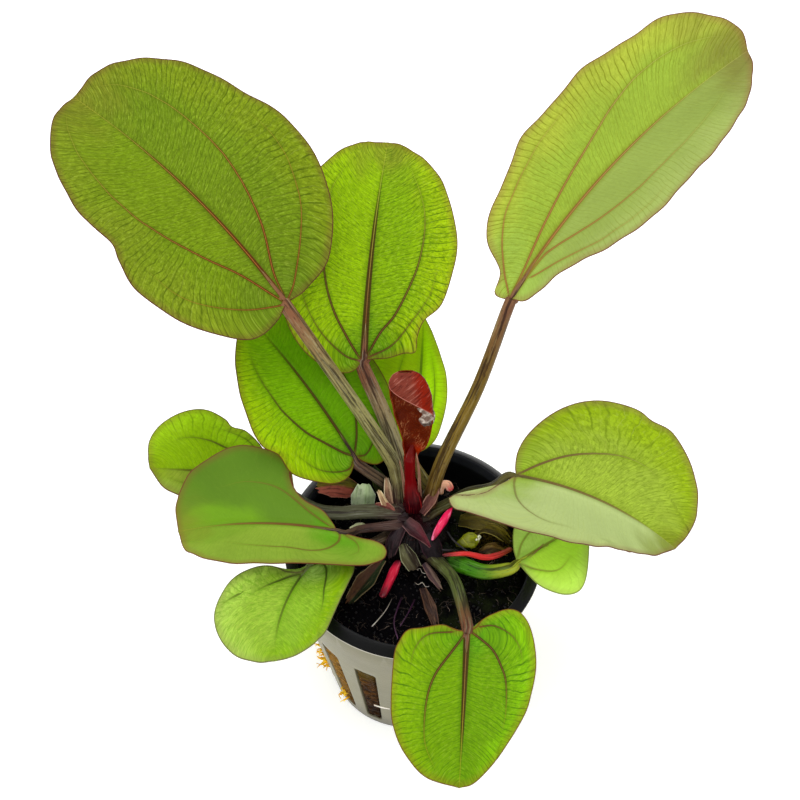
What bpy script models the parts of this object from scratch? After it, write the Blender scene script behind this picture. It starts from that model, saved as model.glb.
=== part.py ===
"""A young sword plant in the slotted net pot that it was grown in.

The pot stands on the XY plane with the centre of its foot at the origin, and +Z is up.
The plant's front, the side with the leaf that hangs over the rim, faces -Y.
Sizes are in millimetres and are turned into metres where a mesh is made.
"""

from math import cos, exp, hypot, pi, radians, sin, sqrt
from typing import NamedTuple

import bmesh
import bpy
from mathutils import Vector

MM = 0.001
MERGE_DISTANCE = 0.004

# Touching pieces keep this gap. A stalk's foot keeps a little more, because it meets the round crown.
GAP = 0.3
FOOT_GAP = 0.55

# The pot: a tapered cup whose wall is cut by one row of tall slots, under a collar that slopes outwards.
FOOT_RADIUS = 16.75
EDGE_RADIUS = 27.5
EDGE_HEIGHT = 50.0
LIP_RADIUS = 24.9
LIP_HEIGHT = 51.6
LIP_ROUND = 0.4
WALL = 1.2
SLOTS = 16
FIRST_SLOT_ANGLE = -112.0
SLOT_HALF_ANGLE = 5.5
SLOT_FOOT = 3.0
SLOT_TOP = 34.5

# The growing medium: a block of rock wool that fills the pot to a little below its collar. Its top is
# lumpy away from the crown, with one loose clump at the right.
MEDIUM_TOP = 41.6
MEDIUM_SHOULDER = 1.5
MEDIUM_SIDES = 32
MEDIUM_RINGS = (24.0, 19.5, 14.5, 9.5)
LUMP_RISE = 1.2
LUMP_MARGIN = 1.0
LUMP_FADE = 4.0
LUMP_WAVES = (3, 5)
LUMP_SHIFTS = (2.3, -1.7)
CLUMP = (17.2, 8.6)
CLUMP_RADIUS = 4.2
CLUMP_RISE = 2.4

# The crown: the short rootstock that every stalk grows from.
CROWN = Vector((0.0, 8.0, 42.0))
CROWN_RADIUS = 8.0
CROWN_RISE = 8.5
CROWN_SIDES = 16
CROWN_RINGS = 4

# How every blade is laid out. The first part of its outline is the lobe behind the junction.
BLADE_THICKNESS = 0.7
MARGIN_THICKNESS = 0.35
FOLD_ROUND = 3.0
LOBE_SHARE = 0.12
MIDRIB_END = 0.94
MIDRIB_TIP_RADIUS = 0.3
MIDRIB_TAPER = 0.7
MIDRIB_STEPS = 5

# How every stalk is laid out: straight out of the crown, and straight in under the blade.
STALK_SIDES = 6
STALK_STEPS = 9
STALK_LEAD_OUT = 2.2
STALK_LEAD_IN = 3.0
STALK_SINK = 0.6

# How many straight runs a smooth curve is measured in between two of its points.
CURVE_STEPS = 12


class Leaf(NamedTuple):
    """One leaf: a stalk from the crown and a blade whose middle vein starts at the junction.

    base is the stalk's foot on the crown, from the crown's middle. via holds the points that the
    stalk passes, and junction is where the blade starts, both in the part's frame.
    yaw and pitch point the middle vein, and roll turns the blade about it. bend curls the blade
    down along its length, and sweep curves it sideways. folds lift the left and the right half.
    left and right are margin points (along the vein, out from it), from the base to the tip.
    stalk is the stalk's radius at the crown and at the blade.
    """

    base: tuple
    via: tuple
    junction: tuple
    yaw: float
    pitch: float
    length: float
    left: tuple
    right: tuple
    roll: float = 0.0
    bend: float = 12.0
    sweep: float = 0.0
    folds: tuple = (8.0, 8.0)
    stalk: tuple = (1.45, 1.1)
    rows: int = 16
    columns: int = 3


LEAVES = {
    "leaf_upper_left": Leaf(
        base=(-3.3, 3.2), via=((-4.2, 14.4, 55.0), (-7.8, 17.7, 62.0)), junction=(-29.0, 32.0, 90.0),
        yaw=140, pitch=36, length=60.5, bend=18, sweep=13, folds=(10, 10), stalk=(1.6, 1.35),
        left=((-2, 5), (-1.5, 12), (4, 18.5), (12, 23.5), (22, 26), (29, 24.5), (33, 22.5), (39, 22.5),
              (46, 21), (54, 16.5), (59.5, 9.5), (61, 4)),
        right=((-0.3, 5.5), (2, 13.5), (10, 21.5), (18, 25.5), (27, 26.5), (36, 24.5), (44.5, 22.5),
               (52, 18.5), (57.5, 13.5), (60.5, 6.5))),
    "leaf_upper_right": Leaf(
        base=(3.0, 2.7), via=((5.2, 15.7, 60.0), (12.0, 27.1, 72.0)), junction=(17.3, 34.6, 92.0),
        yaw=53, pitch=40, roll=-8, length=69.5, bend=14, sweep=-21, folds=(20, 20), stalk=(1.6, 1.2),
        left=((-0.8, 1.5), (-0.8, 4), (3.5, 5.5), (7.5, 11.5), (13, 14.5), (20, 16), (27, 18.5),
              (36, 18.5), (43.5, 19), (53, 17.5), (61.5, 16), (67.5, 11.5), (70.8, 5)),
        right=((1, 3), (4.5, 5.5), (9.5, 7.5), (15, 10.5), (20.5, 14.5), (27, 17.5), (34, 18.7),
               (43, 18.5), (52, 17), (59, 14.5), (64.5, 10), (68.5, 4))),
    "leaf_upper_middle": Leaf(
        base=(-0.9, 4.9), via=((-6.7, 22.6, 62.0),), junction=(-12.6, 30.9, 74.0),
        yaw=91, pitch=42, length=47.5, bend=20, sweep=-8, folds=(10, 10), stalk=(1.5, 1.4),
        left=((-2, 1.5), (-3, 4), (-2, 8), (2, 13.5), (8, 17.3), (16, 19), (24, 19), (32, 17.5),
              (39.5, 13.2), (44, 9.2), (46.7, 5)),
        right=((0.5, 5), (1.7, 8.5), (2.2, 11), (5.5, 11.3), (9, 12.5), (12.8, 16), (20, 17.8),
               (26, 18.2), (32.5, 16.6), (40, 13.2), (45, 8), (47.5, 3))),
    "leaf_rear_left": Leaf(
        base=(-3.6, 6.3), via=((-8.2, 15.7, 52.0),), junction=(-13.7, 17.0, 58.0),
        yaw=134.5, pitch=38, length=37, bend=15, sweep=6, folds=(6, 6), rows=14,
        left=((-1.5, 1), (-3, 3.5), (-2.5, 7), (0, 10.5), (5, 14.8), (10, 15.2), (14, 17), (20.5, 15.7),
              (29.5, 11.5), (35.5, 5.5)),
        right=((-2.5, 1.5), (-4.5, 4.5), (-3, 9), (2, 13), (10, 15.5), (20, 15), (30, 11), (36, 4))),
    "leaf_rear_right": Leaf(
        base=(2.3, 6.7), via=((1.2, 18.6, 49.5),), junction=(-0.9, 21.9, 54.0),
        yaw=86, pitch=42, length=30, bend=15, sweep=4, folds=(6, 6), stalk=(1.3, 1.0), rows=11, columns=2,
        left=((-1, 3), (2, 7), (8, 9.5), (15, 9.5), (22, 7), (28, 3)),
        right=((0.5, 2), (3, 4.4), (7, 5.6), (12, 6.2), (17, 5.7), (21, 4.3), (26.5, 2))),
    "leaf_left_small": Leaf(
        base=(-6.6, 2.8), via=((-14.7, 6.9, 52.0),), junction=(-33.1, 12.5, 54.0),
        yaw=178, pitch=8, length=24.5, folds=(5, 5), stalk=(1.4, 0.9), rows=12,
        left=((-1, 3), (3, 7), (10, 8.5), (17.5, 6.8), (21.5, 4)),
        right=((-0.5, 4), (1, 8), (5, 11.5), (8.2, 12.2), (10, 14), (14, 15.7), (18, 15), (23.5, 11.5),
               (25.6, 7), (25.3, 3))),
    "leaf_left_folded": Leaf(
        base=(-7.0, -0.8), via=((-9.5, 2.6, 52.0),), junction=(-16.3, -1.0, 56.0),
        yaw=173, pitch=4, length=33.5, sweep=19, folds=(24, 24), stalk=(1.4, 1.1),
        left=((-3, 0.4), (-8, 0.4), (-11, 1.5), (-11.3, 5), (-9, 8.3), (-6, 10), (2, 12), (8, 13.6),
              (17, 14), (26, 12.5), (32, 7)),
        right=((1.2, 2), (3.5, 4.2), (7.5, 6), (9.7, 8.2), (10.8, 11), (10.9, 13.5), (13.5, 15.8),
               (19.5, 17.7), (25, 16), (30, 12), (33.2, 6))),
    "leaf_lower_left": Leaf(
        base=(-6.1, -4.2), via=((-13.5, -2.5, 49.8),), junction=(-21.4, -8.5, 54.0),
        yaw=237, pitch=2, length=23.3, sweep=36, stalk=(1.3, 0.9), rows=14,
        left=((-3, 1.2), (-6, 3), (-7, 6), (-5, 8.3), (0, 9.7), (4, 10.3), (9, 10.6), (14.4, 10.4),
              (18, 9), (21.3, 6.4), (23, 3)),
        right=((1.3, 0.2), (2.8, 0.7), (4, 3), (4.4, 5.8), (6, 8.7), (9, 11.7), (12, 13), (16, 13.3),
               (19.4, 11.4), (22, 8), (23.4, 3.5))),
    "leaf_front": Leaf(
        base=(3.7, -6.4), via=((9.0, -8.5, 50.3),), junction=(11.4, -25.0, 58.0),
        yaw=269, pitch=-2, length=32, bend=16, stalk=(1.45, 1.2),
        left=((-1.2, 1.8), (-3, 3), (-4.4, 5.1), (-5.4, 8.1), (-4.6, 10.6), (-1.8, 12.5), (2.7, 13.7),
              (7.6, 14.1), (12.6, 13.4), (17.5, 12), (25.5, 7.5), (30.8, 3)),
        right=((-0.4, 2.5), (-1, 5), (0.1, 9), (1, 12), (3.4, 13.5), (7, 14.5), (16, 14.5), (21.3, 13.7),
               (26.5, 11), (30.5, 6.5))),
    "leaf_right": Leaf(
        base=(6.5, 1.4), via=((9.1, 12.8, 51.6), (14.7, 12.7, 56.0)), junction=(21.0, 12.7, 60.0),
        yaw=-9.5, pitch=4, length=37.2, sweep=-30, folds=(24, 24), stalk=(1.45, 1.1),
        left=((-0.6, 2.5), (-0.5, 6.5), (1.3, 10.8), (6.2, 17.3), (11.2, 20.8), (17.3, 21.9), (20.5, 21.2),
              (24.2, 21.2), (28.7, 17.8), (32.3, 14.2), (35.7, 9.4), (37.1, 4.5)),
        right=((-3, 3.3), (-5.6, 6.8), (-9.7, 8.8), (-14, 9.3), (-12.9, 14), (-9.7, 15.5), (-4.7, 17.1),
               (0.6, 18.6), (6.5, 19.7), (13, 19.4), (20, 17.5), (31, 11), (35.3, 6))),
    "leaf_right_small": Leaf(
        base=(6.7, -3.4), via=((9.6, -0.9, 46.4), (15.0, -5.0, 49.6)), junction=(21.8, -4.7, 53.2),
        yaw=36, pitch=8, length=18.2, folds=(5, 5), stalk=(1.4, 0.9), rows=11, columns=2,
        left=((1.5, 3.5), (4.3, 7), (9, 9), (14, 7), (17, 3)),
        right=((0.2, 1.5), (0.2, 4.1), (0.6, 7.4), (1.9, 10.4), (3.6, 12.6), (5.9, 13.5), (8.3, 12.5),
               (11.3, 9.6), (14.7, 5.6), (17.5, 2))),
}

# The newest leaf is still rolled up: an upright scroll on a crimson stalk.
YOUNG_BASE = (-0.4, 1.4)
YOUNG_LEAD_OUT = 2.0
YOUNG_PATH = ((-1.4, 11.6, 57.0), (-1.9, 13.6, 65.4), (-1.2, 14.4, 69.5), (-2.1, 16.2, 77.5),
              (-3.9, 18.8, 86.0))
YOUNG_WIDTHS = (1.35, 1.3, 1.2, 1.2, 3.2, 4.5, 3.1)
YOUNG_DEPTHS = (1.35, 1.3, 1.2, 1.15, 1.5, 1.5, 0.8)
YOUNG_ACROSS = (1.0, -0.1, 0.15)
YOUNG_STEPS = 12
YOUNG_SIDES = 10


class Stem(NamedTuple):
    """A round shoot or a cut stalk, given by the points it passes and its radius at each end."""

    path: tuple
    radii: tuple


STEM_STEPS = 6
STEMS = {
    "cut_stalk_right": Stem(
        ((6.6, -1.6, 50.0), (11.2, -1.2, 50.2), (15.2, -1.9, 50.3), (18.1, -1.1, 50.3), (20.9, 0.6, 50.4)),
        (0.8, 0.75)),
    "cut_stalk_front": Stem(((-3.0, -0.9, 45.6), (-4.6, -6.0, 46.2), (-6.1, -11.0, 46.8)), (0.85, 1.0)),
    "red_shoot": Stem(((7.9, 9.4, 50.9), (6.0, 6.0, 50.9), (4.1, 2.4, 49.9)), (0.7, 0.75)),
    "pale_shoot": Stem(
        ((5.3, 14.3, 49.4), (5.6, 15.2, 51.2), (6.8, 15.2, 51.9), (7.6, 13.9, 51.4)), (0.6, 0.75)),
}


class Strap(NamedTuple):
    """A thin leftover of an old leaf: a strap that follows a path, as wide as widths says.

    across points out from the path towards one edge of the strap.
    """

    path: tuple
    widths: tuple
    across: tuple
    thickness: float = 0.6


STRAP_STEPS = 5
STRAPS = {
    "old_leaf_left": Strap(
        ((-11.6, 16.0, 46.5), (-15.0, 14.9, 49.2), (-18.6, 13.4, 51.7), (-21.8, 11.6, 53.2)),
        (1.6, 4.6, 5.0, 1.8), (0.1, 0.9, 0.45)),
    "grey_leaf_stub": Strap(
        ((-11.4, 12.7, 45.2), (-11.4, 13.7, 48.2), (-11.4, 15.0, 51.0)), (5.0, 5.4, 2.4), (1.0, 0.1, 0.0)),
    "dark_leaf_piece": Strap(
        ((-6.0, 16.6, 44.2), (-8.0, 18.6, 47.0), (-10.0, 20.4, 49.6)), (3.4, 3.8, 1.8), (0.75, 0.5, -0.1)),
    "papery_sheath_rear": Strap(
        ((-6.0, 10.9, 49.0), (-6.6, 12.4, 51.6), (-7.2, 14.2, 53.8)), (1.5, 1.7, 0.7), (0.9, 0.3, 0.0)),
    "papery_sheath_side": Strap(
        ((-6.4, 8.2, 50.2), (-7.6, 9.6, 51.9), (-8.6, 11.2, 53.2)), (1.2, 1.3, 0.6), (0.8, 0.5, 0.0)),
    "pointed_bract": Strap(
        ((-1.9, 5.5, 51.3), (0.4, 3.6, 50.8), (2.4, 1.9, 49.8), (3.6, 0.8, 48.9)),
        (2.6, 3.2, 1.8, 0.7), (0.7, 0.7, 0.25)),
    "pale_stub": Strap(
        ((-2.4, 2.0, 47.6), (-0.8, -0.8, 46.8), (0.9, -3.4, 46.0)), (1.7, 2.6, 2.0), (0.8, 0.5, 0.0)),
    "dried_leaf": Strap(
        ((-6.4, -0.4, 44.9), (-9.6, -6.0, 45.6), (-13.4, -12.4, 45.8)), (1.6, 4.4, 1.8), (0.8, -0.6, 0.1)),
    "pink_sheath": Strap(
        ((2.6, -1.2, 45.4), (4.6, -4.9, 45.9), (6.6, -8.0, 46.1)), (1.4, 1.9, 0.8), (0.8, 0.5, 0.1)),
    "stringy_leaf": Strap(
        ((2.4, -7.0, 44.8), (4.2, -12.0, 45.2), (5.8, -17.0, 44.6)), (1.4, 2.6, 1.2), (1.0, 0.3, 0.0)),
    "leaf_bud": Strap(
        ((9.9, 5.0, 45.2), (11.8, 4.9, 46.2), (13.9, 4.6, 46.8)), (1.4, 2.5, 0.7), (0.1, 0.9, 0.3), 1.4),
}

# One small white stone lies behind the crown.
PEBBLE = (9.6, 17.8, 44.2)
PEBBLE_RADIUS = 0.95
PEBBLE_SHAPE = (1.0, 0.8, 0.6)


def clear_scene():
    for thing in list(bpy.data.objects):
        bpy.data.objects.remove(thing, do_unlink=True)


def plain_material(name, colour, roughness):
    material = bpy.data.materials.new(name)
    material.use_nodes = True
    shader = material.node_tree.nodes["Principled BSDF"]
    shader.inputs["Base Color"].default_value = (*colour, 1.0)
    shader.inputs["Roughness"].default_value = roughness
    shader.inputs["Metallic"].default_value = 0.0
    material.diffuse_color = (*colour, 1.0)
    return material


def add_object(name, shape, material, smooth_angle=35.0):
    """Close a bmesh in millimetres into a named object at the origin, in metres."""
    bmesh.ops.remove_doubles(shape, verts=shape.verts, dist=MERGE_DISTANCE)
    bmesh.ops.recalc_face_normals(shape, faces=shape.faces)
    bmesh.ops.triangulate(shape, faces=shape.faces)
    bmesh.ops.scale(shape, vec=(MM, MM, MM), verts=shape.verts)
    mesh = bpy.data.meshes.new(name)
    shape.to_mesh(mesh)
    shape.free()
    mesh.materials.append(material)
    mesh.shade_smooth()
    mesh.set_sharp_from_angle(angle=radians(smooth_angle))
    thing = bpy.data.objects.new(name, mesh)
    bpy.context.scene.collection.objects.link(thing)
    return thing


def spline(points, count):
    """Read count + 1 evenly spaced points from the smooth curve through the given ones."""
    points = [Vector(p) for p in points]
    padded = [2 * points[0] - points[1], *points, 2 * points[-1] - points[-2]]
    dense = []
    for a, b, c, d in zip(padded, padded[1:], padded[2:], padded[3:]):
        for k in range(CURVE_STEPS):
            t = k / CURVE_STEPS
            dense.append(0.5 * ((2 * b) + (c - a) * t + (2 * a - 5 * b + 4 * c - d) * t * t
                                + (3 * b - a - 3 * c + d) * t ** 3))
    dense.append(points[-1])
    lengths = [0.0]
    for a, b in zip(dense, dense[1:]):
        lengths.append(lengths[-1] + (b - a).length)
    result = []
    j = 0
    for i in range(count + 1):
        wanted = lengths[-1] * i / count
        while j < len(dense) - 2 and lengths[j + 1] < wanted:
            j += 1
        span = lengths[j + 1] - lengths[j]
        result.append(dense[j].lerp(dense[j + 1], (wanted - lengths[j]) / span if span else 0.0))
    return result


def read_between(values, t):
    """Read a list of values at t from 0 to 1, in straight runs."""
    place = t * (len(values) - 1)
    i = min(int(place), len(values) - 2)
    return values[i] + (values[i + 1] - values[i]) * (place - i)


def tube(shape, centres, radii, sides, flat=None, across=None):
    """Add a closed tube round a line of points. flat gives the other half-width of an oval one."""
    rings = []
    side_axis = Vector(across) if across else None
    for i, centre in enumerate(centres):
        ahead = centres[min(i + 1, len(centres) - 1)] - centres[max(i - 1, 0)]
        ahead.normalize()
        if side_axis is None:
            side_axis = ahead.cross(Vector((0.0, 0.0, 1.0)))
        side_axis = (side_axis - ahead * side_axis.dot(ahead)).normalized()
        up_axis = side_axis.cross(ahead)
        wide = radii[i]
        deep = flat[i] if flat else wide
        ring = []
        for k in range(sides):
            angle = 2 * pi * k / sides
            point = centre + side_axis * (wide * cos(angle)) + up_axis * (deep * sin(angle))
            ring.append(shape.verts.new(point))
        rings.append(ring)
    join_rings(shape, rings)
    shape.faces.new(rings[0][::-1])
    shape.faces.new(rings[-1])


def join_rings(shape, rings):
    """Lay a band of faces between each two rings of points."""
    for lower, upper in zip(rings, rings[1:]):
        for k in range(len(lower)):
            n = (k + 1) % len(lower)
            shape.faces.new((lower[k], lower[n], upper[n], upper[k]))


def wall_radius(height):
    return FOOT_RADIUS + (EDGE_RADIUS - FOOT_RADIUS) * height / EDGE_HEIGHT


def make_pot(material):
    """The cup, with its slots left open through the wall."""
    inner_foot = wall_radius(WALL) - WALL
    lip_foot_height = EDGE_HEIGHT * (LIP_RADIUS + WALL - FOOT_RADIUS) / (EDGE_RADIUS - FOOT_RADIUS)
    outside = [(wall_radius(z), z) for z in (0.0, SLOT_FOOT, SLOT_TOP, EDGE_HEIGHT)]
    rim = [(LIP_RADIUS + LIP_ROUND, LIP_HEIGHT), (LIP_RADIUS, LIP_HEIGHT - LIP_ROUND),
           (LIP_RADIUS, lip_foot_height)]
    inside = [(wall_radius(z) - WALL, z) for z in (SLOT_TOP, SLOT_FOOT)] + [(inner_foot, WALL)]
    profile = outside + rim + inside

    angles = []
    pitch = 360.0 / SLOTS
    for i in range(SLOTS):
        middle = FIRST_SLOT_ANGLE + pitch * i
        angles += [middle - SLOT_HALF_ANGLE, middle + SLOT_HALF_ANGLE, middle + pitch / 2]
    shell = bmesh.new()
    columns = []
    for angle in angles:
        a = radians(angle)
        columns.append([shell.verts.new((r * cos(a), r * sin(a), z)) for r, z in profile])
    slot_out = 1
    slot_in = len(outside) + len(rim)
    for i, column in enumerate(columns):
        following = columns[(i + 1) % len(columns)]
        is_slot = i % 3 == 0
        for j in range(len(profile) - 1):
            if is_slot and j in (slot_out, slot_in):
                continue
            shell.faces.new((column[j], following[j], following[j + 1], column[j + 1]))
        if is_slot:
            for line in (column, following):
                shell.faces.new((line[slot_out], line[slot_out + 1], line[slot_in], line[slot_in + 1]))
            shell.faces.new((column[slot_out], following[slot_out],
                             following[slot_in + 1], column[slot_in + 1]))
            shell.faces.new((column[slot_out + 1], following[slot_out + 1],
                             following[slot_in], column[slot_in]))
    for row, height in ((0, 0.0), (-1, WALL)):
        centre = shell.verts.new((0.0, 0.0, height))
        for i, column in enumerate(columns):
            shell.faces.new((column[row], columns[(i + 1) % len(columns)][row], centre))
    return add_object("pot", shell, material, smooth_angle=25.0)


def medium_height(radius, angle, ring):
    """The medium's top surface: flat round the crown, lumpy further out, with the loose clump."""
    x, y = radius * cos(angle), radius * sin(angle)
    from_crown = hypot(x - CROWN.x, y - CROWN.y)
    fade = min(max((from_crown - CROWN_RADIUS - LUMP_MARGIN) / LUMP_FADE, 0.0), 1.0)
    wave = (sin(LUMP_WAVES[0] * angle + LUMP_SHIFTS[0] * ring)
            * cos(LUMP_WAVES[1] * angle + LUMP_SHIFTS[1] * ring))
    from_clump = hypot(x - CLUMP[0], y - CLUMP[1])
    clump = CLUMP_RISE * exp(-(from_clump / CLUMP_RADIUS) ** 2)
    return MEDIUM_TOP + fade * (LUMP_RISE * (0.5 + 0.5 * wave) + clump)


def make_medium(material):
    """The rock wool block: smooth where the pot holds it, and lumpy on top."""
    foot = WALL + GAP
    block = bmesh.new()
    rings = [[(wall_radius(z) - WALL - GAP, z)] * MEDIUM_SIDES for z in (foot, MEDIUM_TOP - MEDIUM_SHOULDER)]
    for index, radius in enumerate(MEDIUM_RINGS):
        rings.append([(radius, medium_height(radius, 2 * pi * k / MEDIUM_SIDES, index))
                      for k in range(MEDIUM_SIDES)])
    rows = []
    for ring in rings:
        row = []
        for k, (radius, height) in enumerate(ring):
            a = 2 * pi * k / MEDIUM_SIDES
            row.append(block.verts.new((radius * cos(a), radius * sin(a), height)))
        rows.append(row)
    join_rings(block, rows)
    for row, height in ((rows[0], foot), (rows[-1], MEDIUM_TOP)):
        centre = block.verts.new((0.0, 0.0, height))
        for k in range(MEDIUM_SIDES):
            block.faces.new((row[k], row[(k + 1) % MEDIUM_SIDES], centre))
    return add_object("growing_medium", block, material)


def crown_height(dx, dy):
    return CROWN_RISE * sqrt(max(1.0 - (dx * dx + dy * dy) / CROWN_RADIUS ** 2, 0.0))


def make_crown(material):
    dome = bmesh.new()
    rows = []
    for j in range(CROWN_RINGS):
        lift = radians(90.0 * j / CROWN_RINGS)
        out = CROWN_RADIUS * cos(lift)
        row = []
        for k in range(CROWN_SIDES):
            a = 2 * pi * k / CROWN_SIDES
            row.append(dome.verts.new(CROWN + Vector((out * cos(a), out * sin(a), CROWN_RISE * sin(lift)))))
        rows.append(row)
    join_rings(dome, rows)
    top = dome.verts.new(CROWN + Vector((0.0, 0.0, CROWN_RISE)))
    for k in range(CROWN_SIDES):
        dome.faces.new((rows[-1][k], rows[-1][(k + 1) % CROWN_SIDES], top))
    dome.faces.new(rows[0][::-1])
    return add_object("crown", dome, material)


def stalk_foot(base):
    """The point just clear of the crown where a stalk starts, and the crown's outward direction there."""
    dx, dy = base
    rise = crown_height(dx, dy)
    outward = Vector((dx / CROWN_RADIUS ** 2, dy / CROWN_RADIUS ** 2, rise / CROWN_RISE ** 2)).normalized()
    return CROWN + Vector((dx, dy, rise)) + outward * FOOT_GAP, outward


def blade_frame(leaf):
    """Directions at the junction: along the middle vein, across to its left, and up out of the blade."""
    yaw, pitch, roll = radians(leaf.yaw), radians(leaf.pitch), radians(leaf.roll)
    along = Vector((cos(yaw) * cos(pitch), sin(yaw) * cos(pitch), sin(pitch)))
    flat_across = Vector((-sin(yaw), cos(yaw), 0.0))
    flat_up = along.cross(flat_across)
    across = flat_across * cos(roll) + flat_up * sin(roll)
    return along, across, along.cross(across)


def vein_point(leaf, u):
    """The middle vein's point at a distance u from the junction, with the three directions there."""
    along, across, up = blade_frame(leaf)
    bend, sweep = radians(leaf.bend), radians(leaf.sweep)
    turn = bend ** 2 + sweep ** 2
    k = u / leaf.length
    point = (Vector(leaf.junction) + along * (u * (1 - turn * k * k / 6))
             + across * (sweep * u * k / 2) - up * (bend * u * k / 2))
    ahead = (along * (1 - turn * k * k / 2) + across * (sweep * k) - up * (bend * k)).normalized()
    side = (across - ahead * across.dot(ahead)).normalized()
    return point, ahead, side, ahead.cross(side)


def blade_point(leaf, u, v, lift=0.0):
    """A point of the blade: u along the middle vein, v to its left, and lift out of the surface."""
    point, _, side, up = vein_point(leaf, u)
    fold = radians(leaf.folds[0] if v > 0 else leaf.folds[1])
    rise = sin(fold) * (sqrt(v * v + FOLD_ROUND ** 2) - FOLD_ROUND)
    return point + side * (v * cos(fold)) + up * (rise + lift)


def add_blade(shape, leaf):
    """Both halves of a blade as one closed skin. Rows run from the middle vein out to the margin."""
    for sign, margin in ((1, leaf.left), (-1, leaf.right)):
        outline = spline([(0, 0, 0), *[(u, sign * v, 0) for u, v in margin], (leaf.length, 0, 0)], leaf.rows)
        rows = []
        for i, edge in enumerate(outline):
            along = max((i / leaf.rows - LOBE_SHARE) / (1.0 - LOBE_SHARE), 0.0) * leaf.length
            row = []
            for j in range(leaf.columns + 1):
                t = j / leaf.columns
                u = along + (edge.x - along) * t
                v = edge.y * t
                half = 0.5 * (BLADE_THICKNESS + (MARGIN_THICKNESS - BLADE_THICKNESS) * t)
                row.append((shape.verts.new(blade_point(leaf, u, v, half)),
                            shape.verts.new(blade_point(leaf, u, v, -half))))
            rows.append(row)
        for near, far in zip(rows, rows[1:]):
            for j in range(leaf.columns):
                for layer in (0, 1):
                    shape.faces.new((near[j][layer], near[j + 1][layer],
                                     far[j + 1][layer], far[j][layer]))
            shape.faces.new((near[-1][0], near[-1][1], far[-1][1], far[-1][0]))


def add_stalk(shape, leaf):
    """The stalk and, running on under the blade from it, the middle vein."""
    foot, outward = stalk_foot(leaf.base)
    junction, ahead, _, up = vein_point(leaf, 0.0)
    end_radius = leaf.stalk[1]
    arrive = junction - up * (STALK_SINK * end_radius)
    path = spline([foot, foot + outward * STALK_LEAD_OUT, *leaf.via,
                   arrive - ahead * STALK_LEAD_IN, arrive], STALK_STEPS)
    radii = [read_between(leaf.stalk, i / STALK_STEPS) for i in range(STALK_STEPS + 1)]
    for i in range(1, MIDRIB_STEPS + 1):
        t = i / MIDRIB_STEPS
        point, _, _, up = vein_point(leaf, leaf.length * MIDRIB_END * t)
        radius = end_radius + (MIDRIB_TIP_RADIUS - end_radius) * t ** MIDRIB_TAPER
        path.append(point - up * (STALK_SINK * radius))
        radii.append(radius)
    tube(shape, path, radii, STALK_SIDES)


def make_leaf(name, leaf, material):
    """A blade and its stalk, grown as one: the stalk is a guide that a union joins to the blade."""
    blade = bmesh.new()
    add_blade(blade, leaf)
    blade_object = add_object(name, blade, material, smooth_angle=50.0)
    stalk = bmesh.new()
    add_stalk(stalk, leaf)
    stalk_object = add_object(name + "_stalk_guide", stalk, material)
    stalk_object.hide_render = True
    stalk_object.display_type = "WIRE"
    join = blade_object.modifiers.new("stalk", "BOOLEAN")
    join.operation = "UNION"
    join.solver = "EXACT"
    join.object = stalk_object
    return blade_object


def make_young_leaf(material):
    foot, outward = stalk_foot(YOUNG_BASE)
    path = spline([foot, foot + outward * YOUNG_LEAD_OUT, *YOUNG_PATH], YOUNG_STEPS)
    widths = [read_between(YOUNG_WIDTHS, i / YOUNG_STEPS) for i in range(YOUNG_STEPS + 1)]
    depths = [read_between(YOUNG_DEPTHS, i / YOUNG_STEPS) for i in range(YOUNG_STEPS + 1)]
    scroll = bmesh.new()
    tube(scroll, path, widths, YOUNG_SIDES, flat=depths, across=YOUNG_ACROSS)
    return add_object("young_leaf", scroll, material)


def make_stem(name, stem, material):
    rod = bmesh.new()
    radii = [read_between(stem.radii, i / STEM_STEPS) for i in range(STEM_STEPS + 1)]
    tube(rod, spline(stem.path, STEM_STEPS), radii, STALK_SIDES)
    return add_object(name, rod, material)


def make_strap(name, strap, material):
    piece = bmesh.new()
    halves = [0.5 * read_between(strap.widths, i / STRAP_STEPS) for i in range(STRAP_STEPS + 1)]
    depths = [0.5 * strap.thickness] * (STRAP_STEPS + 1)
    tube(piece, spline(strap.path, STRAP_STEPS), halves, STALK_SIDES, flat=depths, across=strap.across)
    return add_object(name, piece, material, smooth_angle=50.0)


def make_pebble(material):
    stone = bmesh.new()
    bmesh.ops.create_icosphere(stone, subdivisions=1, radius=PEBBLE_RADIUS)
    bmesh.ops.scale(stone, vec=PEBBLE_SHAPE, verts=stone.verts)
    bmesh.ops.translate(stone, vec=PEBBLE, verts=stone.verts)
    return add_object("pebble", stone, material)


clear_scene()
leaf_green = plain_material("leaf_green", (0.24, 0.42, 0.02), 0.4)
young_red = plain_material("young_red", (0.14, 0.012, 0.008), 0.3)
stalk_crimson = plain_material("stalk_crimson", (0.55, 0.02, 0.05), 0.4)
old_brown = plain_material("old_brown", (0.09, 0.05, 0.03), 0.6)
pot_grey = plain_material("pot_grey", (0.3, 0.29, 0.27), 0.35)
medium_dark = plain_material("medium_dark", (0.03, 0.022, 0.015), 0.9)
stone_white = plain_material("stone_white", (0.6, 0.58, 0.54), 0.7)

make_pot(pot_grey)
make_medium(medium_dark)
make_crown(old_brown)
for leaf_name, leaf_spec in LEAVES.items():
    make_leaf(leaf_name, leaf_spec, leaf_green)
make_young_leaf(young_red)
for stem_name, stem_spec in STEMS.items():
    make_stem(stem_name, stem_spec, stalk_crimson)
for strap_name, strap_spec in STRAPS.items():
    make_strap(strap_name, strap_spec, old_brown)
make_pebble(stone_white)
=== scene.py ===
"""A young sword plant in the slotted net pot that it was grown in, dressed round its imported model.

The frame is the model's own: the centre of the pot's foot at the origin, +Z up, and the front at -Y.
Sizes are in millimetres and turned into metres where a mesh is made.
"""

from math import cos, pi, radians, sin, sqrt
from typing import NamedTuple

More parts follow.
